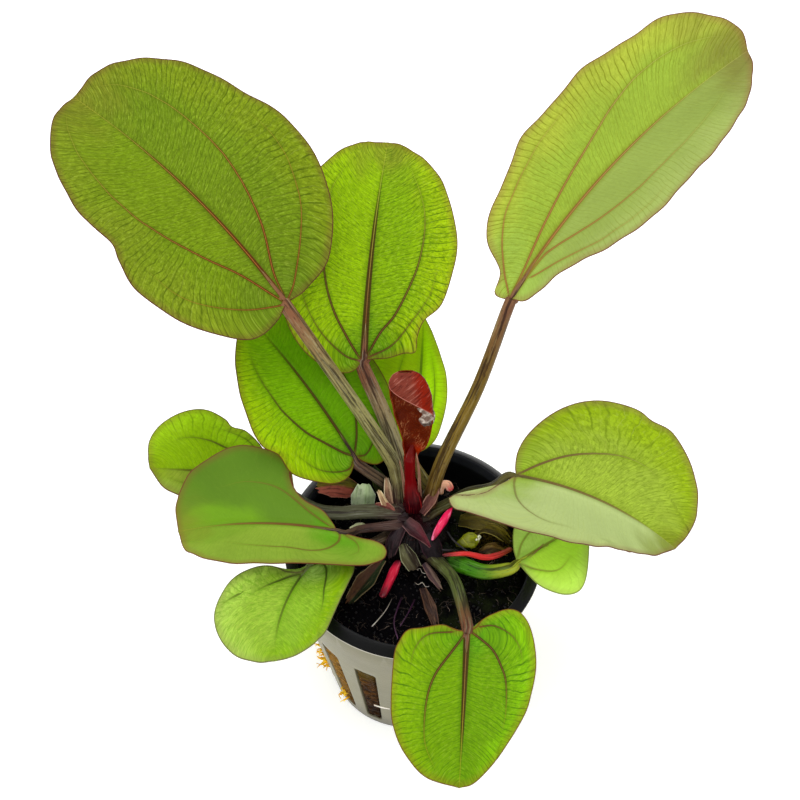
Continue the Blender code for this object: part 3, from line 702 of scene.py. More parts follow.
CROWN_ROWS = 90
CROWN_SIDES = 220
CROWN_SCALES = 8
CROWN_LAYERS = 3.0
SCALE_BULGE = 0.05
SCALE_STEP = 0.07
SCALE_ARCH = 0.35
CROWN_RIBS = 57
RIB_HEIGHT = 0.012


def around(count):
    """Even angles round a ring."""
    return 2 * pi * np.arange(count) / count


def make_crown():
    t = np.linspace(0.0, 1.0, CROWN_ROWS + 1)[:, None]
    angle = around(CROWN_SIDES)[None, :]
    hump = np.abs(np.sin(0.5 * CROWN_SCALES * angle + 2.0 * np.floor(CROWN_LAYERS * t)))
    layer = (CROWN_LAYERS * t + SCALE_ARCH * hump) % 1.0
    grow = 1.0 + SCALE_BULGE * hump - SCALE_STEP * layer + RIB_HEIGHT * np.sin(CROWN_RIBS * angle)
    across = CROWN_RADIUS * grow * np.cos(t * pi / 2)
    rise = CROWN_RISE * grow * np.sin(t * pi / 2)
    points = CROWN + np.stack([across * np.cos(angle), across * np.sin(angle), rise], -1)
    skin = Skin()
    skin.tube(points, place=np.stack([t + 0 * angle, layer, hump], -1))
    finish = Finish("crown")
    point = finish.place()
    height, layer, _ = finish.split(finish.mark("place"))
    clouds = finish.cloud(point, 0.5, 4.0, 0.6)
    fibres = finish.cloud(finish.place((2.6, 2.6, 0.5)), 1.0, 4.0, 0.6)
    colour = finish.mix(clouds, paint(4, 2, 5), paint(20, 8, 11))
    colour = finish.tint(colour, (46, 8, 14), height, 0.55, 0.9, 0.8)
    colour = finish.tint(colour, (70, 40, 38), fibres, 0.58, 0.72, 0.4)
    colour = finish.tint(colour, (96, 60, 56), layer, 0.88, 0.98, 0.3)
    material = finish.surface(colour, 0.34 + 0.3 * clouds, fibres + clouds, 0.2, 0.9,
                              Specular_IOR_Level=0.2)
    return skin.piece("crown_grown", [material], sharp=45.0)


hand_over(make_crown(), "crown", "crown")

# The leaves: each is one blade on its own long stalk, grown out of the crown in turn. A blade is thin
# and leathery, with a strong middle vein, arching side veins, fine cross veins and a red-brown margin.

BLADE_THICKNESS = 0.36
MARGIN_THICKNESS = 0.22
FOLD_ROUND = 3.0
LOBE_SHARE = 0.12
BLADE_ROWS = 120
BLADE_COLUMNS = 30
COLUMN_CROWDING = 1.25
CURVE_STEPS = 12
VEIN_STEPS = 60
SIDE_VEIN_WIDTHS = (0.22, 0.15, 0.13)
NO_VEIN_NEAR = 9.0
GROOVE = 0.2
SHOULDER = 0.14
RELIEF_FADE = 4.0
WAVE = 0.3
WAVE_LENGTH = 13.0
CROSS_VEIN_LEAN = 0.4
MIDRIB_END = 0.94
MIDRIB_TIP_RADIUS = 0.15
MIDRIB_TAPER = 0.7
KEEL_STEPS = 28
KEEL_SINK = 1.1
STALK_SIDES = 20
STALK_STEPS = 56
STALK_LEAD_OUT = 2.2
STALK_LEAD_IN = 2.0
STALK_SINK = 0.6
STALK_GROOVE = 0.16
STALK_RIBS = 6
STALK_RIB_HEIGHT = 0.03
SHEATH_LENGTH = 9.0
SHEATH_FLARE = 0.75
SHEATH_FLATTEN = 0.35
FOOT_GAP = 0.55


class Leaf(NamedTuple):
    """One leaf: a stalk from the crown and a blade whose middle vein starts at the junction.

    base is the stalk's foot on the crown, from the crown's middle. via holds the points that the stalk
    passes. yaw and pitch point the middle vein, roll turns the blade about it, bend curls it down along
    its length and sweep curves it sideways. folds lift the left and the right half. left and right are
    margin points (along the vein, out from it), from the base to the tip. stalk is the stalk's radius
    at the crown and at the blade. veins are the side veins of the left half, then of the right half.
    greens are the left half's inner and outer colour, the right half's, the foot's and the tip's.
    turn_at is where on a half's width the inner one turns into the outer, further out by turn_lean at
    the tip. net says how clearly each half's cross veins show and grain how speckled it is between them.
    reach is how far out on the crown the stalk shows its foot, as a share of base, strap how much wider
    than round it is and shaded the share of it that is as dark as its foot.
    """

    base: tuple
    via: tuple
    junction: tuple
    yaw: float
    pitch: float
    length: float
    left: tuple
    right: tuple
    veins: tuple
    greens: tuple
    roll: float = 0.0
    bend: float = 12.0
    sweep: float = 0.0
    folds: tuple = (8.0, 8.0)
    stalk: tuple = (1.45, 1.1)
    net: tuple = (0.6, 0.6)
    net_colour: tuple = (72, 104, 4)
    grain: float = 0.6
    light_veins: float = 0.25
    rib: tuple = (0.32, 0.1)
    turn_at: tuple = (0.4, 0.95)
    turn_lean: float = 0.0
    vein_foot: tuple = (168, 116, 66)
    vein_tip: tuple = (172, 168, 62)
    painted_vein_shadow: tuple = (98, 50, 24)
    margin: tuple = (116, 66, 44)
    reach: float = 1.0
    strap: float = 0.0
    shaded: float = 0.04
    stalk_tones: tuple = ((46, 20, 22), (106, 96, 44), (120, 78, 50))
    gloss: float = 0.42


LEAVES = {
    "leaf_upper_left": Leaf(
        base=(-3.3, 3.2), via=((-4.2, 14.4, 55.0), (-7.8, 17.7, 62.0)), junction=(-29.0, 32.0, 90.0),
        yaw=140, pitch=36, length=60.5, bend=18, sweep=13, folds=(10, 10), stalk=(1.6, 1.35),
        left=((-2, 5), (-1.5, 12), (4, 18.5), (12, 23.5), (22, 26), (29, 24.5), (33, 22.5), (39, 22.5),
              (46, 21), (54, 16.5), (59.5, 9.5), (61, 4)),
        right=((-0.3, 5.5), (2, 13.5), (10, 21.5), (18, 25.5), (27, 26.5), (36, 24.5), (44.5, 22.5),
               (52, 18.5), (57.5, 13.5), (60.5, 6.5)),
        veins=((((0.3, 0.3), (2.4, 1.2), (10.5, 4.7), (17, 8.3), (24.7, 11.6), (32, 13.7), (38, 14),
                 (44, 13.4), (50.7, 11.4), (57, 7.2), (60, 3)),
                ((0.1, 0.6), (1, 3), (4.5, 9.5), (10.6, 16.5), (17, 20), (25, 21))),
               (((0.5, -0.3), (6.5, -1.9), (15.5, -6.6), (25, -9.9), (33.5, -11.4), (43, -11.4),
                 (50.5, -10.2), (55.5, -7.8), (59.5, -3.5)),
                ((0.3, -0.6), (3, -5), (12, -14.7), (19, -19.3), (26, -21.6), (35, -21.5)))),
        greens=((120, 149, 18), (130, 150, 29), (111, 139, 19), (125, 146, 21), (106, 134, 28),
                (130, 133, 36)),
        net=(0.75, 0.8), net_colour=(72, 92, 4), grain=0.7, light_veins=0.5, rib=(0.42, 0.06),
        vein_foot=(196, 124, 52), vein_tip=(200, 184, 70), painted_vein_shadow=(92, 34, 16), margin=(112, 56, 44),
        reach=0.85, stalk_tones=((46, 20, 22), (138, 132, 80), (124, 82, 56))),
    "leaf_upper_right": Leaf(
        base=(3.0, 2.7), via=((5.2, 15.7, 60.0), (12.0, 27.1, 72.0)), junction=(17.3, 34.6, 92.0),
        yaw=53, pitch=40, roll=-8, length=69.5, bend=14, sweep=-21, folds=(20, 20), stalk=(1.6, 1.2),
        left=((-0.8, 1.5), (-0.8, 4), (3.5, 5.5), (7.5, 11.5), (13, 14.5), (20, 16), (27, 18.5),
              (36, 18.5), (43.5, 19), (53, 17.5), (61.5, 16), (67.5, 11.5), (70.8, 5)),
        right=((1, 3), (4.5, 5.5), (9.5, 7.5), (15, 10.5), (20.5, 14.5), (27, 17.5), (34, 18.7),
               (43, 18.5), (52, 17), (59, 14.5), (64.5, 10), (68.5, 4)),
        veins=((((0.4, 0.3), (6, 1), (15.7, 3.1), (24.3, 4.9), (33.8, 6.9), (44, 9.4), (50, 10.3),
                 (56, 10), (60.4, 9.2), (64.7, 7.5), (68.5, 4.5)),
                ((0.3, 0.8), (5, 5.5), (13, 11), (22, 13.5), (32, 15.4), (42, 15.6))),
               (((1, -0.3), (9.9, -0.9), (13.7, -2), (19.8, -5.2), (26, -8), (34, -9.8), (44, -10),
                 (54, -8.5), (62, -5)),
                ((6, -1.5), (13, -6), (22, -12), (31, -15), (41, -15.2)))),
        # The right half's pale grey-green is a painted sheen, where that half is seen at a glancing angle.
        greens=((149, 175, 58), (172, 184, 62), (144, 163, 78), (157, 174, 94), (158, 188, 80),
                (120, 114, 52)),
        net=(0.8, 0.35), net_colour=(118, 126, 16), grain=0.35, light_veins=0.3, rib=(0.38, 0.06),
        vein_foot=(190, 130, 74), vein_tip=(196, 196, 108), painted_vein_shadow=(134, 92, 44), margin=(138, 84, 62),
        reach=0.85, stalk_tones=((58, 22, 18), (112, 90, 28), (112, 76, 52)), gloss=0.4),
    "leaf_upper_middle": Leaf(
        base=(-0.9, 4.9), via=((-6.7, 22.6, 62.0),), junction=(-12.6, 30.9, 74.0),
        yaw=91, pitch=42, length=47.5, bend=20, sweep=-8, folds=(10, 10), stalk=(1.5, 1.4),
        left=((-2, 1.5), (-3, 4), (-2, 8), (2, 13.5), (8, 17.3), (16, 19), (24, 19), (32, 17.5),
              (39.5, 13.2), (44, 9.2), (46.7, 5)),
        right=((0.5, 5), (1.7, 8.5), (2.2, 11), (5.5, 11.3), (9, 12.5), (12.8, 16), (20, 17.8),
               (26, 18.2), (32.5, 16.6), (40, 13.2), (45, 8), (47.5, 3)),
        veins=((((0, 0.4), (1, 1.4), (5, 4.1), (10.3, 7.2), (16.5, 9.4), (25, 10.7), (34, 10.4),
                 (38.5, 9), (43, 6.6)),
                ((-0.3, 0.8), (1, 4.5), (6, 10), (13, 14), (21, 15.6))),
               (((0.3, -0.4), (1.8, -1.1), (6, -3.3), (10, -6.2), (16.4, -8.9), (22, -10.4),
                 (29, -10.8), (35.6, -9.4), (44, -5)),
                ((0.6, -1), (3.5, -6), (9, -10), (15, -13.4), (23, -14.8)))),
        greens=((150, 190, 1), (168, 206, 8), (132, 172, 1), (157, 188, 1), (82, 136, 8),
                (136, 144, 36)),
        net=(0.7, 0.85), net_colour=(60, 98, 2), grain=0.75, rib=(0.72, 0.08), vein_foot=(134, 84, 48),
        vein_tip=(190, 190, 64), painted_vein_shadow=(66, 34, 16), margin=(126, 82, 40),
        reach=0.85, strap=0.2, stalk_tones=((56, 26, 24), (148, 138, 98), (120, 76, 54))),
    "leaf_rear_left": Leaf(
        base=(-3.6, 6.3), via=((-8.2, 15.7, 52.0),), junction=(-13.7, 17.0, 58.0),
        yaw=134.5, pitch=38, length=37, bend=15, sweep=6, folds=(6, 6),
        left=((-1.5, 1), (-3, 3.5), (-2.5, 7), (0, 10.5), (5, 14.8), (10, 15.2), (14, 17), (20.5, 15.7),
              (29.5, 11.5), (35.5, 5.5)),
        right=((-2.5, 1.5), (-4.5, 4.5), (-3, 9), (2, 13), (10, 15.5), (20, 15), (30, 11), (36, 4)),
        veins=((((0.3, 0.3), (2.3, 1.9), (6.1, 4.2), (10.3, 6.5), (14.8, 7.8), (19.4, 8.2), (27.8, 7.2),
                 (33, 4.2)),
                ((-0.2, 0.4), (-1.6, 2.2), (-0.8, 5), (1.5, 8.2), (4.5, 10.2), (9.5, 11.8))),
               (((0.4, -0.3), (4, -3.4), (10, -6.8), (17, -8.4), (25, -7.4), (32, -4.2)),
                ((-0.3, -0.5), (-1, -3), (1.5, -7), (6, -10.5), (12, -12.2)))),
        greens=((125, 180, 1), (164, 204, 1), (104, 163, 1), (114, 168, 4), (90, 146, 20),
                (130, 170, 12)),
        net=(0.6, 0.4), net_colour=(58, 104, 2), vein_foot=(110, 70, 36), vein_tip=(120, 112, 22),
        painted_vein_shadow=(70, 50, 20), margin=(122, 84, 30),
        stalk_tones=((48, 34, 32), (96, 80, 60), (92, 68, 54))),
    "leaf_rear_right": Leaf(
        base=(2.3, 6.7), via=((1.2, 18.6, 49.5),), junction=(-0.9, 21.9, 54.0),
        yaw=86, pitch=42, length=30, bend=15, sweep=4, folds=(6, 6), stalk=(1.3, 1.0),
        left=((-1, 3), (2, 7), (8, 9.8), (14, 11), (19, 11.3), (24, 8.6), (28, 3.5)),
        right=((0.5, 2), (3, 4.4), (7, 5.6), (12, 6.2), (17, 5.7), (21, 4.3), (26.5, 2)),
        veins=((((0.2, 0.4), (5, 3), (12, 5), (19, 4.4), (26, 2)),),
               (((0.2, -0.3), (5, -2), (11, -3.3), (17, -3), (23, -1.6)),)),
        greens=((164, 204, 1), (178, 222, 16), (178, 232, 1), (176, 224, 1), (150, 188, 14),
                (188, 230, 16)),
        net=(0.3, 0.3), net_colour=(84, 140, 4), rib=(0.3, 0.12), vein_foot=(120, 112, 34),
        vein_tip=(130, 168, 20), painted_vein_shadow=(92, 124, 10), margin=(150, 150, 40)),
    "leaf_left_small": Leaf(
        base=(-6.6, 0.8), via=((-11.6, 7.6, 51.0), (-16.5, 6.9, 51.0), (-22.4, 7.8, 51.2)),
        junction=(-33.1, 12.5, 54.0), yaw=178, pitch=8, length=24.5, folds=(5, 5), stalk=(1.3, 0.9),
        left=((-1, 3), (3, 7), (10, 8.5), (17.5, 6.8), (21.5, 4)),
        right=((-0.5, 4), (1, 8), (5, 11.5), (8.2, 12.2), (10, 14), (14, 15.7), (18, 15), (23.5, 11.5),
               (25.6, 7), (25.3, 3)),
        veins=((((0.3, 0.3), (4, 2.6), (10, 4), (16, 3.6), (21, 1.8)),),
               (((0.2, -0.3), (4, -4.4), (9.5, -6.9), (13, -8.1), (17.5, -8.2), (21.5, -6.6)),
                ((0, -0.6), (3, -8), (8, -10.6), (14, -11.8)))),
        greens=((142, 163, 46), (146, 175, 62), (142, 182, 1), (170, 213, 22), (120, 158, 20),
                (138, 168, 6)),
        net=(0.4, 0.5), net_colour=(92, 128, 4), rib=(0.35, 0.12), vein_foot=(96, 96, 30),
        vein_tip=(120, 120, 30), painted_vein_shadow=(84, 78, 22), margin=(120, 84, 44), reach=0.5, strap=0.55,
        stalk_tones=((50, 24, 26), (70, 70, 50), (92, 96, 66))),
    "leaf_left_folded": Leaf(
        base=(-6.0, -5.0), via=((-8.4, 3.7, 51.0), (-11.8, 2.0, 52.4)), junction=(-16.3, -1.0, 56.0),
        yaw=173, pitch=4, length=33.5, sweep=19, folds=(24, 24), stalk=(1.05, 0.85),
        left=((-3, 0.4), (-8, 0.4), (-11, 1.5), (-11.3, 5), (-9, 8.3), (-6, 10), (2, 12), (8, 13.6),
              (17, 14), (26, 12.5), (32, 7)),
        right=((1.2, 2), (3.5, 4.2), (7.5, 6), (9.7, 8.2), (10.8, 11), (10.9, 13.5), (13.5, 15.8),
               (19.5, 17.7), (25, 16), (30, 12), (33.2, 6)),
        veins=((((-0.4, 0.3), (-0.9, 1.6), (-0.6, 3.7), (1.4, 6.4), (4.5, 7.7), (9, 7.8), (17, 7.4),
                 (25, 5.4)),
                ((-0.8, 0.3), (-4.5, 2), (-5.5, 5), (-3, 7.8))),
               (((0.5, -0.3), (6, -3.4), (13, -8.2), (19, -9.6), (25, -8.6)),)),
        # The right half's darker outer part, with its curved edge, is painted shade with a grey painted
        # sheen in its fold.
        greens=((125, 158, 45), (135, 164, 52), (110, 154, 26), (93, 130, 30), (80, 154, 6),
                (122, 132, 37)), turn_at=(-0.68, -0.42), turn_lean=1.35,
        net=(0.2, 0.1), net_colour=(92, 132, 20), light_veins=0.1, rib=(0.3, 0.08),
        vein_foot=(136, 84, 48), vein_tip=(176, 160, 60), painted_vein_shadow=(106, 62, 36), margin=(134, 76, 50),
        reach=0.5, stalk_tones=((38, 18, 24), (66, 46, 40), (84, 66, 46)), gloss=0.34),
    "leaf_lower_left": Leaf(
        base=(-6.1, -4.2), via=((-13.5, -2.5, 49.8),), junction=(-21.4, -8.5, 54.0),
        yaw=237, pitch=2, length=23.3, sweep=36, stalk=(1.3, 0.9),
        left=((-3, 1.2), (-6, 3), (-7, 6), (-5, 8.3), (0, 9.7), (4, 10.3), (9, 10.6), (14.4, 10.4),
              (18, 9), (21.3, 6.4), (23, 3)),
        right=((1.3, 0.2), (2.8, 0.7), (4, 3), (4.4, 5.8), (6, 8.7), (9, 11.7), (12, 13), (16, 13.3),
               (19.4, 11.4), (22, 8), (23.4, 3.5)),
        veins=((((-0.2, 0.3), (-1.8, 1.4), (-1.6, 3), (0.6, 4.6), (4, 6), (7.5, 7.3), (12, 8)),),
               (((3, -0.4), (4.4, -1.8), (6.2, -3.2), (8.8, -5.5), (11.2, -7.4)),
                ((11.6, -9.6), (13, -11.2), (14.8, -13)))),
        # The whitish foot colour is a painted sheen near the foot.
        greens=((137, 177, 43), (134, 173, 1), (150, 184, 56), (175, 208, 84), (188, 222, 118),
                (129, 171, 1)),
        net=(0.45, 0.45), net_colour=(100, 150, 14), grain=1.2, light_veins=0.35, rib=(0.2, 0.06),
        vein_foot=(62, 70, 28), vein_tip=(150, 180, 40), painted_vein_shadow=(78, 96, 26), margin=(128, 128, 70),
        reach=0.9, stalk_tones=((36, 18, 24), (70, 56, 40), (120, 130, 80)), gloss=0.36),
    "leaf_front": Leaf(
        base=(3.7, -6.4), via=((9.0, -8.5, 50.3),), junction=(11.4, -25.0, 58.0),
        yaw=269, pitch=-2, length=32, bend=16, stalk=(1.45, 1.2),
        left=((-1.2, 1.8), (-3, 3), (-4.4, 5.1), (-5.4, 8.1), (-4.6, 10.6), (-1.8, 12.5), (2.7, 13.7),
              (7.6, 14.1), (12.6, 13.4), (17.5, 12), (25.5, 7.5), (30.8, 3)),
        right=((-0.4, 2.5), (-1, 5), (0.1, 9), (1, 12), (3.4, 13.5), (7, 14.5), (16, 14.5), (21.3, 13.7),
               (26.5, 11), (30.5, 6.5)),
        veins=((((-0.1, 0.4), (0.4, 1.6), (3.6, 5.2), (7.2, 7.1), (10.7, 8.2), (16.5, 8.4), (21, 7.8)),
                ((-1.4, 2.6), (-1.6, 5.6), (0.5, 9), (3.6, 10.8), (8, 11.6))),
               (((0.2, -0.4), (1.3, -0.9), (5.1, -3.2), (9.5, -5.8), (14, -7.2), (19.8, -7.6),
                 (24.6, -7), (29.6, -4.4)),
                ((0.2, -3), (1.6, -8), (5, -10.4), (10, -11.2)))),
        greens=((108, 154, 1), (130, 188, 1), (114, 158, 1), (130, 172, 1), (88, 154, 14),
                (105, 150, 1)),
        net=(0.8, 0.75), net_colour=(56, 102, 2), grain=0.5, light_veins=0.15, rib=(0.6, 0.08),
        vein_foot=(136, 92, 56), vein_tip=(184, 164, 40), painted_vein_shadow=(66, 36, 16), margin=(136, 98, 30),
        stalk_tones=((52, 40, 28), (78, 88, 42), (104, 64, 44))),
    "leaf_right": Leaf(
        base=(6.5, 1.4), via=((7.4, 11.0, 51.2), (11.0, 12.2, 53.6), (15.9, 11.7, 56.9)),
        junction=(21.0, 12.7, 60.0), yaw=-9.5, pitch=4, length=37.2, sweep=-30, folds=(24, 24),
        stalk=(1.2, 0.75),
        left=((-0.6, 2.5), (-0.5, 6.5), (1.3, 10.8), (6.2, 17.3), (11.2, 20.8), (17.3, 21.9), (20.5, 21.2),
              (24.2, 21.2), (28.7, 17.8), (32.3, 14.2), (35.7, 9.4), (37.1, 4.5)),
        right=((-3, 3.3), (-5.6, 6.8), (-9.7, 8.8), (-14, 9.3), (-12.9, 14), (-9.7, 15.5), (-4.7, 17.1),
               (0.6, 18.6), (6.5, 19.7), (13, 19.4), (20, 17.5), (31, 11), (35.3, 6)),
        veins=((((0.2, 0.3), (3.6, 3.3), (7.9, 6.4), (12.3, 8.8), (16.9, 10.7), (20.6, 11.6),
                 (24, 11.4), (27, 10)),),
               (((-0.1, -0.4), (0.1, -3.4), (1.8, -8.3), (5.4, -12), (11.1, -14), (18, -13)),)),
        # The right half's pale colours are a painted sheen, where that half rises at a glancing angle.
        greens=((154, 178, 56), (152, 181, 14), (178, 194, 126), (180, 195, 124), (135, 167, 28),
                (117, 129, 20)),
        net=(0.65, 0.1), net_colour=(104, 128, 8), grain=0.8, light_veins=0.6, rib=(0.34, 0.06),
        vein_foot=(124, 98, 60), vein_tip=(176, 180, 88), painted_vein_shadow=(108, 82, 48), margin=(132, 84, 66),
        reach=0.5, strap=0.25, stalk_tones=((44, 30, 20), (56, 54, 18), (80, 74, 34)), gloss=0.36),
    "leaf_right_small": Leaf(
        base=(5.2, -5.6), via=((9.0, -1.2, 46.8), (15.0, -5.0, 49.4)), junction=(21.8, -4.7, 53.2),
        yaw=36, pitch=8, length=18.2, folds=(5, 5), stalk=(1.4, 0.9),
        left=((1.5, 3.5), (4.3, 7), (9, 9), (14, 7), (17, 3)),
        right=((0.2, 1.5), (0.2, 4.1), (0.6, 7.4), (1.9, 10.4), (3.6, 12.6), (5.9, 13.5), (8.3, 12.5),
               (11.3, 9.6), (14.7, 5.6), (17.5, 2)),
        veins=((((0.3, 0.4), (4, 3.4), (9, 4.6), (14, 3)),),
               (((0.3, -0.3), (2.5, -4), (6, -6.6), (11, -5)),)),
        greens=((190, 226, 104), (200, 234, 112), (190, 234, 70), (200, 238, 96), (158, 192, 86),
                (196, 230, 90)),
        net=(0.2, 0.2), net_colour=(128, 180, 40), light_veins=0.15, rib=(0.3, 0.1),
        vein_foot=(150, 96, 60), vein_tip=(160, 200, 70), painted_vein_shadow=(130, 140, 50), margin=(160, 180, 80),
        strap=0.5, shaded=0.14, stalk_tones=((6, 10, 4), (62, 122, 10), (158, 164, 44)), gloss=0.36),
}


def unit(vectors):
    return vectors / np.linalg.norm(vectors, axis=-1, keepdims=True)


def steps_of(path):
    """The lengths of a path's steps."""
    return np.linalg.norm(np.diff(path, axis=0), axis=1)


def mound(distance, width):
    """1 at no distance, and smoothly down to 0 well outside the width."""
    return np.exp(-(distance / width) ** 2)


def spline(points, count):
    """count + 1 evenly spaced points on the smooth curve through the given ones."""
    points = np.array(points, float)
    padded = np.vstack([2 * points[0] - points[1], points, 2 * points[-1] - points[-2]])
    t = (np.arange(CURVE_STEPS) / CURVE_STEPS)[:, None]
    dense = [0.5 * (2 * b + (c - a) * t + (2 * a - 5 * b + 4 * c - d) * t ** 2
                    + (3 * b - a - 3 * c + d) * t ** 3)
             for a, b, c, d in zip(padded, padded[1:], padded[2:], padded[3:])]
    dense = np.vstack([*dense, points[-1:]])
    lengths = np.append(0.0, np.cumsum(steps_of(dense)))
    wanted = np.linspace(0.0, lengths[-1], count + 1)
    return np.stack([np.interp(wanted, lengths, column) for column in dense.T], 1)


def middle_vein(leaf, u):
    """The middle vein's points at distances u, and the directions ahead, to the left and up there."""
    yaw, pitch, roll, bend, sweep = np.radians([leaf.yaw, leaf.pitch, leaf.roll, leaf.bend, leaf.sweep])
    along = np.array((cos(yaw) * cos(pitch), sin(yaw) * cos(pitch), sin(pitch)))
    flat_across = np.array((-sin(yaw), cos(yaw), 0.0))
    across = flat_across * cos(roll) + np.cross(along, flat_across) * sin(roll)
    up = np.cross(along, across)
    turn = bend ** 2 + sweep ** 2
    u = np.asarray(u, float)[..., None]
    k = u / leaf.length
    point = (np.array(leaf.junction) + along * (u * (1 - turn * k * k / 6))
             + across * (sweep * u * k / 2) - up * (bend * u * k / 2))
    ahead = unit(along * (1 - turn * k * k / 2) + across * (sweep * k) - up * (bend * k))
    side = unit(across - ahead * (ahead @ across)[..., None])
    return point, ahead, side, np.cross(ahead, side)


def blade_surface(leaf, u, v, lift):
    """Points of the blade: u along the middle vein, v to its left and lift out of the surface."""
    point, _, side, up = middle_vein(leaf, u)
    fold = np.radians(np.where(v > 0, leaf.folds[0], leaf.folds[1]))
    rise = np.sin(fold) * (np.sqrt(v * v + FOLD_ROUND ** 2) - FOLD_ROUND)
    return point + side * (v * np.cos(fold))[..., None] + up * (rise + lift)[..., None]


def beside(line, u, v, outward):
    """How far points lie outside a line on the blade, and the share of the line that they are beside."""
    path = spline(line, VEIN_STEPS)
    ahead = unit(np.gradient(path, axis=0))
    offset = np.stack([u, v], -1)[..., None, :] - path
    apart = np.linalg.norm(offset, axis=-1)
    nearest = apart.argmin(-1)
    step = np.take_along_axis(offset, nearest[..., None, None], axis=-2)[..., 0, :]
    way = ahead[nearest]
    outside = (way[..., 0] * step[..., 1] - way[..., 1] * step[..., 0]) * outward
    past_end = (nearest == 0) | (nearest == VEIN_STEPS)
    outside = np.where(past_end, np.where(outside < 0, -1, 1) * apart.min(-1), outside)
    return outside, nearest / VEIN_STEPS


def add_blade(skin, leaf):
    """Both halves of a blade as one closed skin. Rows run from the middle vein out to the margin."""
    for sign, margin, lines in ((1, leaf.left, leaf.veins[0]), (-1, leaf.right, leaf.veins[1])):
        outline = spline([(0, 0), *[(u, sign * v) for u, v in margin], (leaf.length, 0)], BLADE_ROWS)
        shares = np.arange(BLADE_ROWS + 1) / BLADE_ROWS
        along = np.maximum((shares - LOBE_SHARE) / (1.0 - LOBE_SHARE), 0.0)[:, None] * leaf.length
        t = (np.arange(BLADE_COLUMNS + 1) / BLADE_COLUMNS)[None, :] ** COLUMN_CROWDING
        u = along + (outline[:, :1] - along) * t
        v = outline[:, 1:] * t
        wide = np.hypot(outline[:, :1] - along, outline[:, 1:])
        to_margin = np.abs(beside([tuple(p) for p in outline[::2]], u, v, 1)[0])
        from_foot = np.hypot(u, v)
        from_tip = np.hypot(u - leaf.length, v)
        level = leaf.length * from_foot / (from_foot + from_tip)
        apart = np.full((3, *u.shape), NO_VEIN_NEAR)
        width = np.zeros((3, *u.shape))
        for index, line in enumerate(lines):
            apart[index], share = beside(line, u, v, sign)
            width[index] = SIDE_VEIN_WIDTHS[index] * (1.0 - share) ** 0.6
        inside = np.abs(v) - np.maximum(apart[0], 0.0) if lines else np.abs(v)
        cross = level - CROSS_VEIN_LEAN * inside
        fade = np.clip(wide / RELIEF_FADE, 0.0, 1.0)
        strong = (1.0 - level / leaf.length) ** 0.5
        lift = strong * (SHOULDER * mound(np.abs(v) - 0.85, 0.45) - GROOVE * mound(v, 0.32))
        for index in range(3):
            lift += width[index] * (0.5 * mound(np.abs(apart[index]) - 0.8, 0.45)
                                    - 0.7 * mound(apart[index], 0.3))
        wave = (np.sin(2 * pi * cross / WAVE_LENGTH + leaf.yaw)
                + 0.6 * np.sin(2 * pi * cross / (0.43 * WAVE_LENGTH) + sign + leaf.pitch))
        lift = fade * (lift + WAVE * t ** 2 * wave)
        half = 0.5 * (BLADE_THICKNESS + (MARGIN_THICKNESS - BLADE_THICKNESS) * t * np.clip(wide, 0, 1))
        upper = blade_surface(leaf, u, v, lift + half)
        lower = blade_surface(leaf, u, v, lift - half)
        marks = {
            "place": np.stack([level / leaf.length, t + 0 * u, np.full(u.shape, (1 + sign) / 2)], -1),
            "net": np.stack([cross, v, to_margin], -1),
            "veins": np.moveaxis(apart, 0, -1),
            "widths": np.moveaxis(width, 0, -1),
        }
        skin.grid(upper, **marks)
        skin.grid(lower, **marks)
        skin.grid(np.stack([upper[:, -1], lower[:, -1]], 1),
                  **{name: values[:, -1:].repeat(2, axis=1) for name, values in marks.items()})


def carried(path, side):
    """The directions ahead, sideways and up along a path. side is the direction at its end."""
    ahead = unit(np.gradient(path, axis=0))
    sides = np.empty_like(path)
    for i in range(len(path) - 1, -1, -1):
        side = unit(side - ahead[i] * (ahead[i] @ side))
        sides[i] = side
    return ahead, sides, np.cross(ahead, sides)


def round_path(path, sides, ups, across, raised):
    """Points set off from a path, sideways by across and upwards by raised."""
    return path[:, None] + sides[:, None] * across[..., None] + ups[:, None] * raised[..., None]


def stalk_foot(base):
    """Where a stalk leaves the crown, and the crown's outward direction there."""
    dx, dy = base
    rise = CROWN_RISE * sqrt(1.0 - (dx * dx + dy * dy) / CROWN_RADIUS ** 2)
    outward = unit(np.array((dx / CROWN_RADIUS ** 2, dy / CROWN_RADIUS ** 2, rise / CROWN_RISE ** 2)))
    return CROWN + (dx, dy, rise) + outward * FOOT_GAP, outward


def smooth_step(low, high, value):
    share = np.clip((value - low) / (high - low), 0.0, 1.0)
    return share * share * (3.0 - 2.0 * share)


